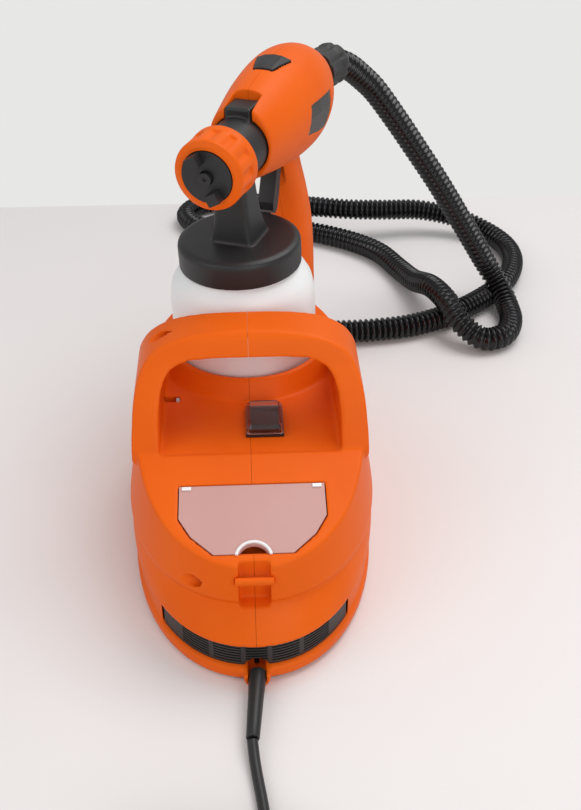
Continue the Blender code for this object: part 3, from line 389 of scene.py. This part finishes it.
def plan(half, nose, tail, rear_power, points=192):
    outline = []
    for k in range(points):
        angle = 2 * math.pi * k / points
        c, s = math.cos(angle), math.sin(angle)
        power = NOSE_POWER if s < 0 else rear_power
        reach = (UNIT_MID_Y - nose) if s < 0 else (tail - UNIT_MID_Y)
        x = math.copysign(abs(c) ** (2 / power), c) * half
        y = math.copysign(abs(s) ** (2 / power), s) * reach
        outline.append((x, UNIT_MID_Y + y))
    return outline


LOWER_LEVELS = (
    (0.0015, 0.0830, -0.1510, 0.1510, 2.6), (0.0040, 0.0855, -0.1540, 0.1535, 2.6),
    (0.0115, 0.0855, -0.1540, 0.1535, 2.6), (0.0125, 0.0835, -0.1510, 0.1520, 2.6),
    (0.0300, 0.0835, -0.1505, 0.1520, 2.6), (0.0308, 0.0855, -0.1520, 0.1538, 2.6),
    (0.0400, 0.0860, -0.1455, 0.1540, 2.7), (0.0520, 0.0850, -0.1350, 0.1540, 2.7),
    (0.0600, 0.0835, -0.1300, 0.1530, 2.7))
UPPER_LEVELS = (
    (0.0525, 0.0855, -0.1345, 0.1540, 2.7), (0.0560, 0.0865, -0.1370, 0.1542, 2.7),
    (0.0800, 0.0825, -0.1310, 0.1543, 2.65), (0.0960, 0.0795, -0.1270, 0.1545, 2.6),
    (0.1200, 0.0765, -0.1230, 0.1548, 2.6))
WINDOW = ((0.0478, -0.0713), (0.0478, -0.0955), (0.0400, -0.1085), (0.0255, -0.1215))
UNIT_SCREWS = ((0.006, 0.163, -0.043), (0.019, 0.0995, -0.050), (-0.1225, 0.0625, -0.029))
SWITCH = (0.0100, -0.0115)
TOP = (Matrix.Translation((0, TOP_FRONT[0], TOP_FRONT[1])) @ Matrix.Rotation(TOP_SLOPE, 4, "X")
       @ Matrix.Diagonal((1, 1 / math.cos(TOP_SLOPE), 1, 1)) @ Matrix.Translation((0, -TOP_FRONT[0], 0)))


def unit_form():
    lower = loft([[(x, y, z) for x, y in plan(a, n, t, p)] for z, a, n, t, p in LOWER_LEVELS])
    upper = loft([[(x, y, z) for x, y in plan(a, n, t, p)] for z, a, n, t, p in UPPER_LEVELS])
    return join(lower, upper)


def above_top():
    y0, z0 = TOP_FRONT
    reach = 0.06
    outline = [(y0 - reach, z0 - reach * math.tan(TOP_SLOPE)), FOLD, (FOLD[0] + 0.008, RIM_Z), (0.25, RIM_Z),
               (0.25, 0.30), (y0 - reach, 0.30)]
    return prism(outline, -0.2, 0.2, "X")


def deck_pocket():
    pocket = block((-ARM_INNER, FOLD[0] - 0.001, DECK_Z), (ARM_INNER, 0.056, 0.20))
    rim = rod((0, CUP_Y, DECK_Z - 0.004), (0, CUP_Y, RIM_Z - 0.0006), 0.0715, 0.0595, 128)
    return cut(pocket, rim)


def handle_form():
    arch = [(0.080, 0.095), (0.079, 0.118), (0.0765, 0.138), (0.071, 0.153), (0.062, 0.163),
            (0.046, 0.1695), (0.022, 0.1725), (0.0, 0.1732)]
    inner = [(0.0, 0.1575), (0.030, 0.1572), (0.0430, 0.1555), (0.0525, 0.1505), (0.0580, 0.1415), (0.0605, 0.127),
             (ARM_INNER, 0.108), (ARM_INNER, 0.095)]
    arch, inner = between(arch, 6), between(inner, 6)
    whole = (arch + [(-x, z) for x, z in reversed(arch) if x > 0]
             + [(-x, z) for x, z in reversed(inner) if x > 0] + inner)
    front = prism(whole, -0.06, 0.075, "Y")
    side = [(-0.046, 0.096), (-0.046, 0.1045), (-0.032, 0.131), (-0.017, 0.1535), (-0.0095, 0.1685),
            (-0.005, 0.1735), (0.018, 0.1745), (0.0225, 0.1715), (0.0225, 0.160), (0.0265, 0.150),
            (0.038, 0.133), (0.062, 0.117), (0.062, 0.096)]
    return boolean(front, prism(side, -0.1, 0.1, "X"), "INTERSECT")


def band_zone(near, far, low, high, half):
    outer = [p for p in plan(0.0835 - near, -0.1507 + near, 0.15, 2.6, 256) if p[1] < UNIT_MID_Y]
    inner = [p for p in plan(0.0835 - far, -0.1507 + far, 0.15, 2.6, 256) if p[1] < UNIT_MID_Y]
    outer = [p for p in outer if abs(p[0]) <= half]
    inner = [p for p in inner if abs(p[0]) <= half]
    return prism(outer + inner[::-1], low, high)


def window_outline(grow=0.0):
    right = [(x + grow, y + (grow if i == 0 else -grow * 0.7)) for i, (x, y) in enumerate(WINDOW)]
    return [(-x, y) for x, y in right] + right[::-1]


def make_unit_shells():
    form = cut(unit_form(), above_top(), deck_pocket())
    form = join(form, handle_form(), rod((0, -0.148, 0.0095), (0, -0.160, 0.0095), 0.0085),
                rod((0, 0.146, PORT_Z), (0, 0.160, PORT_Z), 0.0190, steps=72))
    form = remeshed(form, 0.0012, 7, lambda p: 1.0 if p.z > 0.118 else 0.25 if p.z > 0.100 else 0.12)
    form = cut(
        form,
        rod((0, CUP_Y, 0.070), (0, CUP_Y, 0.20), CRADLE_R, steps=160),
        block((-NOTCH_HALF, -0.16, LEDGE_Z - 0.006), (NOTCH_HALF, -0.1262, 0.10)),
        rod((-NOTCH_HALF - 0.0025, *STRAP_BAR), (NOTCH_HALF + 0.0025, *STRAP_BAR), 0.0030),
        band_zone(-0.01, 0.006, BAND_Z[0], BAND_Z[1], 0.0625),
        rod((0, -0.17, 0.0095), (0, -0.12, 0.0095), 0.0060),
        rod((0, 0.13, PORT_Z), (0, 0.17, PORT_Z), 0.0160),
        prism(window_outline(0.0003), -0.02, 0.02, place=TOP),
        block((SWITCH[0] - 0.0121, SWITCH[1] - 0.0160, 0.085), (SWITCH[0] + 0.0121, SWITCH[1] + 0.0160, 0.11)))
    for y, z, head in UNIT_SCREWS:
        form = cut(form, rod((-0.10, y, z), (head, y, z), 0.0040))
    form = remeshed(form, 0.00105, 1)
    left = form.copy()
    left.data = form.data.copy()
    bpy.context.scene.collection.objects.link(left)
    left = boolean(left, block((-1, -1, -1), (-SEAM, 1, 1)), "INTERSECT")
    right = boolean(form, block((SEAM, -1, -1), (1, 1, 1)), "INTERSECT")
    finished(left, "unit_shell_left", "orange_plastic", "unit", ["left_shell"])
    finished(right, "unit_shell_right", "orange_plastic", "unit", ["right_shell"])


def make_lid_marks():
    """The raised rim behind the lid's thumb notch and the two tabs of its hinge."""
    rim = [TOP @ Vector((0.0112 * math.cos(a), -0.1245 + 0.0112 * math.sin(a), 0.0004))
           for a in (math.radians(12 + 156 * k / 24) for k in range(25))]
    finished(swept("rim", rim, lambda walked: 0.0011, 12), "lid_notch_rim", "cup_plastic", "lid")
    for k, side in enumerate((-1, 1)):
        tab = block((side * 0.0425 - 0.0030, -0.0748, -0.0002), (side * 0.0425 + 0.0030, -0.0725, 0.0007), TOP)
        finished(tab, f"lid_hinge_tab_{k + 1}", "cup_plastic", "lid")


# The gun

BODY_PROFILE = ((0.0230, 0.0113), (0.0262, 0.028), (0.0298, 0.048), (0.0322, 0.066), (0.0338, 0.085),
                (0.0337, 0.103), (0.0305, 0.122), (0.0240, 0.140), (0.0165, 0.154), (0.0120, 0.160))
GRIP_LEVELS = ((0.2450, 0.0660, 0.0940, 0.0125), (0.2210, 0.0700, 0.1005, 0.0135), (0.1920, 0.0800, 0.1120, 0.0145),
               (0.1630, 0.0865, 0.1205, 0.0150), (0.1350, 0.0890, 0.1230, 0.0150), (0.1160, 0.0895, 0.1230, 0.0150),
               (0.0960, 0.0900, 0.1225, 0.0150), (0.0870, 0.0920, 0.1210, 0.0135))
BUTTON = ((-0.0130, 0.0800), (0.0130, 0.0800), (0.0070, 0.0585), (-0.0070, 0.0585))
BADGE = ((0.0650, 0.2500), (0.1050, 0.2420), (0.1100, 0.2520), (0.1100, 0.2700), (0.0705, 0.2710))
TRIGGER_PIVOT = (0.069, 0.2330)
GUN_SCREW = (0.064, 0.284)


def gun_form(grow=0.0):
    line = between(BODY_PROFILE, 5)
    profile = [(0, line[0][1])] + [(r + grow, u) for r, u in line] + [(0, line[-1][1])]
    place = Matrix.Translation((0, 0, BODY_Z)) @ Matrix.Diagonal((1, 1, 1.18, 1))
    return lathe("gun", profile, 96, place, "Y")


def grip_form():
    rings = []
    for z, front, rear, half in between(GRIP_LEVELS, 4):
        outline = rounded(2 * half, rear - front, 0.9 * min(half, (rear - front) / 2), (0, (front + rear) / 2))
        rings.append([(x, u, z) for x, u in outline])
    return loft(rings)


def make_gun_shells():
    body = join(gun_form(), grip_form())
    body = remeshed(body, 0.0011, 12)
    strip = [(u - 0.0032, z) for z, u in ((0.2070, 0.1060), (0.1920, 0.1120), (0.1630, 0.1205), (0.1350, 0.1230),
                                          (0.1080, 0.1228))]
    u, z = GUN_SCREW
    ring = cut(gun_form(0.01), gun_form(-0.0014))
    body = cut(
        body,
        rod((0, -0.02, GUN_Z), (0, 0.0600, GUN_Z), BARREL_R + 0.0005, steps=96),
        block((-0.0100, -0.02, GUN_Z + 0.012), (0.0100, 0.031, 0.31)),
        rod((0, 0.140, BODY_Z), (0, 0.19, BODY_Z), 0.0110),
        prism([(0.0520, 0.200), (0.0520, 0.2400), (0.0800, 0.2400), (0.0800, 0.222), (0.0755, 0.200)], -0.0068, 0.0068,
              "X"),
        prism([(x * 1.05, v + (0.0005 if v > 0.07 else -0.0005)) for x, v in BUTTON], 0.2900, 0.32),
        rod((-0.05, u, z), (-0.0222, u, z), 0.0037),
        boolean(ring, prism(BADGE, 0.02, 0.06, "X"), "INTERSECT"),
        prism(strip + [(0.20, 0.1080), (0.20, 0.2070)], -0.0085, 0.0085, "X"))
    body = remeshed(body, 0.0008, 1)
    left = body.copy()
    left.data = body.data.copy()
    bpy.context.scene.collection.objects.link(left)
    left = boolean(left, block((-1, -1, -1), (-SEAM, 1, 1)), "INTERSECT")
    right = boolean(body, block((SEAM, -1, -1), (1, 1, 1)), "INTERSECT")
    for side, node, obj in (("left", "gun_left_shell", left), ("right", "gun_right_shell", right)):
        obj.data.transform(GUN)
        finished(obj, "gun_body_" + side, "orange_plastic", "gun", [node])


def make_head():
    low, high = LID_Z
    lid = lathe("lid", [(0, high), (0.0400, high), (0.0435, high - 0.0015), (LID_R, high - 0.0040), (LID_R, low - 0.001),
                        (0.0424, low - 0.001), (0.0424, high - 0.0035), (0, high - 0.0035)], 128)
    neck = loft([[(x, u, z) for x, u in rounded(w, d, 0.0045, (0, mid))] for w, d, mid, z in between((
        (0.0340, 0.0360, 0.0020, high - 0.003), (0.0310, 0.0330, 0.0020, high + 0.002),
        (0.0270, 0.0270, 0.0000, 0.2150), (0.0240, 0.0220, -0.0020, 0.2440), (0.0240, 0.0220, -0.0020, 0.2560)), 4)])
    head = join(lid, neck, rod((0, -0.0230, GUN_Z), (0, 0.0595, GUN_Z), BARREL_R, steps=96),
                block((-0.0092, 0.010, GUN_Z + 0.017), (0.0092, 0.0292, GUN_Z + 0.0265)))
    head = remeshed(head, 0.0009, 3)
    head = cut(head, rod((0, -0.03, GUN_Z), (0, 0.0100, GUN_Z), 0.0165, steps=72))
    head = join(head, rod((0, -0.0200, GUN_Z), (0, 0.0200, GUN_Z), 0.0072))
    head = cut(head, rod((0, -0.03, GUN_Z), (0, 0.07, GUN_Z), 0.0028))
    head.data.transform(GUN)
    finished(head, "spray_head_fine", "black_plastic", "gun", ["spray_head"])


def make_nut():
    profile = [(0.0205, -0.0430), (NUT_R - 0.0006, -0.0412), (NUT_R, -0.0395), (NUT_R, -0.0240), (0.0246, -0.0225),
               (0.0250, -0.0190), (0.0250, -0.0168), (0.0219, -0.0165), (0.0219, -0.0235), (0.0195, -0.0370),
               (0.0182, -0.0380), (0.0182, -0.0430)]

    def fluted(r, h, angle):
        wave = 0.5 + 0.5 * math.cos(12 * angle)
        return r - (0.0019 * wave ** 1.5 if r > 0.0237 and -0.0386 < h < -0.0238 else 0.0)
    fine = []
    for (r0, h0), (r1, h1) in zip(profile, profile[1:]):
        count = 6 if abs(h1 - h0) > 0.008 else 1
        fine += [(r0 + (r1 - r0) * k / count, h0 + (h1 - h0) * k / count) for k in range(count)]
    fine.append(profile[-1])
    nut = lathe("nut", fine, 192, GUN @ Matrix.Translation((0, 0, GUN_Z)), "Y", fluted)
    finished(nut, "nozzle_nut_fluted", "orange_plastic", "nut", ["nozzle_nut"], 22)


def make_cup():
    inner = 0.0018
    line = [(0.0, CUP_BASE), (0.0300, CUP_BASE), (0.0480, CUP_BASE), (0.0508, CUP_BASE + 0.0010),
            (0.0525, CUP_BASE + 0.0035), (CUP_R, CUP_BASE + 0.008), (CUP_R, 0.1500), (0.0528, 0.1570),
            (0.0512, 0.1640), (0.0475, 0.1705), (0.0425, 0.1755), (0.0416, 0.1770), (0.0416, 0.1915), (0.0396, 0.1915),
            (0.0396, 0.1760), (0.0455, 0.1692), (0.0492, 0.1632), (0.0509, 0.1568), (CUP_R - inner, 0.1500),
            (CUP_R - inner, CUP_BASE + 0.009), (0.0505, CUP_BASE + 0.005), (0.0470, CUP_BASE + 0.0022),
            (0.0, CUP_BASE + 0.0022)]
    cup = lathe("cup", line, 128, GUN)
    finished(cup, "paint_cup_fine", "cup_plastic", "cup", ["paint_cup"], 50)


def collar_shape(ribs, depth):
    return lambda r, h, angle: r - depth * max(0.0, math.sin(ribs * angle)) ** 2 if r > 0.0149 else r


def make_collars():
    profile = [(0.0157, 0.0440), (0.0168, 0.0425), (0.0172, 0.0400), (0.0172, 0.0345), (0.0160, 0.0310),
               (0.0155, 0.0290), (0.0155, 0.0110), (0.0162, 0.0090), (0.0172, 0.0070), (0.0172, 0.0024),
               (0.0090, 0.0022), (0.0090, -0.0060), (0.0072, -0.0060), (0.0072, 0.0380), (0.0118, 0.0380),
               (0.0118, 0.0440)]
    place = GUN @ Matrix.Translation((0, *COLLAR_AT)) @ Matrix.Rotation(-COLLAR_DROOP, 4, "X")
    collar = lathe("collar", profile, 160, place, "Y", collar_shape(8, 0.0010))
    finished(collar, "gun_collar_ribbed", "grille_plastic", "gun_collar", ["hose_collar_gun"], 30)
    profile = [(0.0172, 0.1665), (0.0178, 0.1655), (0.0178, 0.1612), (0.0172, 0.1604), (0.0156, 0.1604),
               (0.0156, 0.1490), (0.0120, 0.1490), (0.0120, 0.1665)]
    collar = lathe("collar", profile, 160, Matrix.Translation((0, 0, PORT_Z)), "Y", collar_shape(10, 0.0006))
    finished(collar, "unit_collar_ribbed", "grille_plastic", "unit_collar", ["hose_collar_unit"], 30)


# The hose and the mains lead

HOSE_ROUTE = (
    (0.0840, 0.2790, 0.2565), (0.0930, 0.2875, 0.2500), (0.1040, 0.2960, 0.2390), (0.1180, 0.3040, 0.2235),
    (0.1400, 0.3110, 0.1930), (0.1600, 0.3145, 0.1640), (0.1820, 0.3160, 0.1320), (0.2050, 0.3175, 0.0960),
    (0.2250, 0.3170, 0.0640), (0.2400, 0.3150, 0.0400), (0.2510, 0.3050, 0.0240),
    (0.2560, 0.2850, 0.0130), (0.2540, 0.2590, 0.0115), (0.2420, 0.2350, 0.0115), (0.2200, 0.2270, 0.0130),
    (0.2010, 0.2400, 0.0230), (0.1900, 0.2630, 0.0340), (0.1800, 0.2930, 0.0330), (0.1700, 0.3320, 0.0180),
    (0.1600, 0.3680, 0.0115), (0.1430, 0.4050, 0.0115), (0.1150, 0.4330, 0.0115), (0.0750, 0.4560, 0.0115),
    (0.0300, 0.4680, 0.0115), (-0.0150, 0.4680, 0.0115), (-0.0500, 0.4760, 0.0115), (-0.0660, 0.5050, 0.0115),
    (-0.0480, 0.5340, 0.0115), (-0.0100, 0.5380, 0.0125), (0.0350, 0.5080, 0.0200), (0.0750, 0.4760, 0.0330),
    (0.1150, 0.4640, 0.0345), (0.1550, 0.4660, 0.0320), (0.1950, 0.4700, 0.0290), (0.2350, 0.4640, 0.0220),
    (0.2660, 0.4440, 0.0140), (0.2820, 0.4120, 0.0115), (0.2810, 0.3750, 0.0115), (0.2640, 0.3360, 0.0115),
    (0.2330, 0.3020, 0.0115), (0.1960, 0.2740, 0.0115), (0.1600, 0.2570, 0.0115), (0.1250, 0.2500, 0.0115),
    (0.0900, 0.2470, 0.0120), (0.0560, 0.2410, 0.0160), (0.0270, 0.2250, 0.0260), (0.0080, 0.2020, 0.0370),
    (0.0000, 0.1800, 0.0415), (0.0000, 0.1672, 0.0420))
RIB_PITCH = 0.0054


def rib_radius(walked):
    """Rounded crests and narrower rounded valleys, one of each to a pitch."""
    phase = (walked % RIB_PITCH) / RIB_PITCH
    crest = 0.5 + 0.5 * math.cos(2 * math.pi * phase)
    return HOSE_R - 0.0029 * (1 - crest ** 0.55)


def make_hose():
    u, z = COLLAR_AT
    start = [GUN @ Vector((0, u + reach * math.cos(COLLAR_DROOP), z - reach * math.sin(COLLAR_DROOP)))
             for reach in (0.0385, 0.0460)]
    path = smooth_path((*start, *HOSE_ROUTE), RIB_PITCH / 7)
    hose = swept("hose", path, rib_radius, 24)
    finished(hose, "air_hose_ribbed", "hose_plastic", None, ["air_hose"], 60)
    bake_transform(hose)


COIL_CENTRE = (-0.0348, -0.3219)
CORD_START = (
    (-0.0040, -0.2041, 0.0078), (-0.0037, -0.2110, 0.0064), (-0.0024, -0.2190, 0.0044), (-0.0010, -0.2300, 0.0036),
    (0.0008, -0.2420, 0.0036), (0.0026, -0.2570, 0.0036), (0.0044, -0.2720, 0.0036), (0.0062, -0.2870, 0.0036),
    (0.0080, -0.3020, 0.0036))


def coil_turns():
    """Clockwise turns wound layer on layer, outwards and inwards by turns, up to the outside of the top layer."""
    cx, cy = COIL_CENTRE
    inner, outer = 0.0380, 0.0449
    places = [(r, 0.0037 + layer * 0.0068) for layer in range(4)
              for r in ((outer, inner) if layer % 2 == 0 else (inner, outer))]
    points, per_turn, start, end = [], 24, math.radians(7), math.radians(90 - 360)
    for turn, (radius, z) in enumerate(places):
        last = turn == len(places) - 1
        next_radius, next_z = (radius, z) if last else places[turn + 1]
        for k in range(per_turn):
            ease = max(0.0, (k / per_turn - 0.7) / 0.3)
            ease = ease * ease * (3 - 2 * ease)
            angle = start - 2 * math.pi * k / per_turn
            if last and angle < end:
                break
            r = radius + (next_radius - radius) * ease
            points.append((cx + r * math.cos(angle), cy + r * math.sin(angle), z + (next_z - z) * ease))
    return points


def make_lead():
    cx, cy = COIL_CENTRE
    route = smooth_path(CORD_START, 0.012) + [Vector(p) for p in coil_turns()]
    relief_end = Vector(CORD_START[0])
    tail = [(cx + x, cy + y, z) for x, y, z in (
        (0.0120, 0.0452, 0.0236), (0.0240, 0.0480, 0.0220), (0.0360, 0.0530, 0.0190), (0.0480, 0.0560, 0.0160),
        (0.0600, 0.0540, 0.0135), (0.0700, 0.0460, 0.0118), (0.0745, 0.0370, 0.0113), (0.0750, 0.0290, 0.0113))]
    route += [Vector(p) for p in tail]
    curve = bpy.data.curves.new("lead", "CURVE")
    curve.dimensions = "3D"
    curve.bevel_depth = CORD_R
    curve.bevel_resolution = 5
    curve.use_fill_caps = True
    spline = curve.splines.new("POLY")
    path = smooth_path(route, 0.004)
    spline.points.add(len(path) - 1)
    for point, co in zip(spline.points, path):
        point.co = (*co, 1)
    lead = bpy.data.objects.new("lead", curve)
    bpy.context.scene.collection.objects.link(lead)
    finished(lead, "mains_lead", "rubber", "unit", ["power_cord", "power_cord_coil"])
    length = sum((q - p).length for p, q in zip(path, path[1:]))
    return lead, relief_end, length


def make_relief():
    profile = [(0.0, 0.0), (0.0038, 0.0), (0.0042, 0.0008), (0.0046, 0.0150), (0.0050, 0.0300), (0.0056, 0.0435),
               (0.0056, 0.0490), (0.0, 0.0490)]
    end, foot = Vector((-0.0038, -0.2030, 0.0080)), Vector((0, -0.1585, 0.0095))
    turn = Matrix.Translation(end) @ (foot - end).to_track_quat("Z", "Y").to_matrix().to_4x4()
    relief = lathe("relief", profile, 64, turn)
    finished(relief, "strain_relief_sleeve", "rubber", "unit", ["strain_relief"], 35)
    return relief


def make_plug():
    cx, cy = COIL_CENTRE
    sections = ((0.030, 0.009, 0.009), (0.024, 0.010, 0.010), (0.012, 0.014, 0.012), (-0.002, 0.024, 0.019),
                (-0.010, 0.027, 0.022), (-0.014, 0.027, 0.022))
    plug = loft([[(px + cx + 0.075, cy + v, pz + 0.0113) for px, pz in rounded(w, h, 0.42 * h)]
                 for v, w, h in between(sections, 4)])
    plug = remeshed(plug, 0.0010, 4)
    finished(plug, "mains_plug_moulded", "rubber", "unit", ["mains_plug"])
    blades = []
    for k, side in enumerate((-1, 1)):
        at = cx + 0.075 + side * 0.0063
        blade = block((at - 0.0008, cy - 0.0310, 0.0080), (at + 0.0008, cy - 0.0120, 0.0143))
        blades.append(finished(blade, f"plug_blade_{k + 1}", "steel", "unit"))
    return [plug, *blades]


# CAD nodes that stay

def soften(node, width, segments=2):
    """Rounded edges on a CAD node that stays."""
    mod = frame["nodes"][node].modifiers.new("edges", "BEVEL")
    mod.width = width
    mod.segments = segments
    mod.limit_method = "ANGLE"
    mod.angle_limit = math.radians(40)
    mod.harden_normals = True


def dress_nodes():
    for entry in frame["record"]["subparts"]:
        obj = frame["nodes"][entry["node"]]
        obj.data.materials.clear()
        obj.data.materials.append(MATERIALS[entry["material_slot"]])
    for node, width in (("trigger", 0.0012), ("latch_button", 0.0006), ("side_badge", 0.0002), ("vent_grille", 0.0002),
                        ("strap_bar", 0.0004), ("switch_frame", 0.0004), ("switch_rocker", 0.0006),
                        ("switch_cover", 0.0004), ("accessory_lid", 0.0004), ("air_cap", 0.0004),
                        ("fluid_nozzle", 0.0002), ("grip_strip", 0.0006), ("gun_screw", 0.0003)):
        soften(node, width)


# Stage, light and camera

def make_stage():
    floor = mesh_object("floor", [(-4, -4, 0), (4, -4, 0), (4, 0.56, 0), (-4, 0.56, 0)], [(0, 1, 2, 3)])
    mat = bpy.data.materials.new("floor_look")
    mat.use_nodes = True
    nodes, links = mat.node_tree.nodes, mat.node_tree.links
    shader = nodes["Principled BSDF"]
    place = nodes.new("ShaderNodeTexCoord")
    noise = nodes.new("ShaderNodeTexNoise")
    noise.inputs["Scale"].default_value = 6.0
    ramp = nodes.new("ShaderNodeValToRGB")
    ramp.color_ramp.elements[0].color = (0.82, 0.785, 0.77, 1)
    ramp.color_ramp.elements[1].color = (0.85, 0.815, 0.80, 1)
    links.new(place.outputs["Object"], noise.inputs["Vector"])
    links.new(noise.outputs["Fac"], ramp.inputs["Fac"])
    links.new(ramp.outputs["Color"], shader.inputs["Base Color"])
    shader.inputs["Roughness"].default_value = 0.55
    floor.data.materials.append(mat)


def area_light(name, at, target, size, energy, colour=(1, 1, 1)):
    light = bpy.data.lights.new(name, "AREA")
    light.shape = "SQUARE"
    light.size = size
    light.energy = energy
    light.color = colour
    obj = bpy.data.objects.new(name, light)
    bpy.context.scene.collection.objects.link(obj)
    obj.location = at
    obj.rotation_euler = (Vector(target) - Vector(at)).to_track_quat("-Z", "Y").to_euler()


def make_lights_and_camera():
    world = bpy.data.worlds.new("studio")
    world.use_nodes = True
    sky = world.node_tree.nodes["Background"]
    sky.inputs["Color"].default_value = (0.97, 0.98, 1.0, 1)
    sky.inputs["Strength"].default_value = 0.50
    seen = world.node_tree.nodes.new("ShaderNodeBackground")
    seen.inputs["Color"].default_value = (1.0, 1.0, 0.985, 1)
    seen.inputs["Strength"].default_value = 0.80
    ray = world.node_tree.nodes.new("ShaderNodeLightPath")
    mix = world.node_tree.nodes.new("ShaderNodeMixShader")
    links = world.node_tree.links
    links.new(ray.outputs["Is Camera Ray"], mix.inputs["Fac"])
    links.new(sky.outputs["Background"], mix.inputs[1])
    links.new(seen.outputs["Background"], mix.inputs[2])
    links.new(mix.outputs["Shader"], world.node_tree.nodes["World Output"].inputs["Surface"])
    bpy.context.scene.world = world
    area_light("key", (0.55, 0.45, 1.35), (0, 0.05, 0.1), 0.9, 10.0)
    area_light("fill", (-0.9, -0.5, 0.9), (0, 0.05, 0.1), 1.0, 3.5)
    area_light("front", (0.5, -1.2, 0.7), (0, 0, 0.1), 0.8, 5.0)
    camera = bpy.data.cameras.new("camera")
    camera.lens = 46.67
    camera.sensor_width = 36
    obj = bpy.data.objects.new("camera", camera)
    bpy.context.scene.collection.objects.link(obj)
    obj.location = (0, -0.596, 0.543)
    obj.rotation_euler = Vector((0.0389, 0.8071, -0.5892)).to_track_quat("-Z", "Y").to_euler()
    bpy.context.scene.camera = obj
    bpy.context.scene.view_settings.view_transform = "Standard"


def main():
    build_materials()
    make_stage()
    make_lights_and_camera()
    dress_nodes()
    make_hose()
    lead, exit_point, length = make_lead()
    plug = make_plug()
    make_relief()
    make_unit_shells()
    make_lid_marks()
    make_gun_shells()
    make_head()
    make_nut()
    make_cup()
    make_collars()


main()
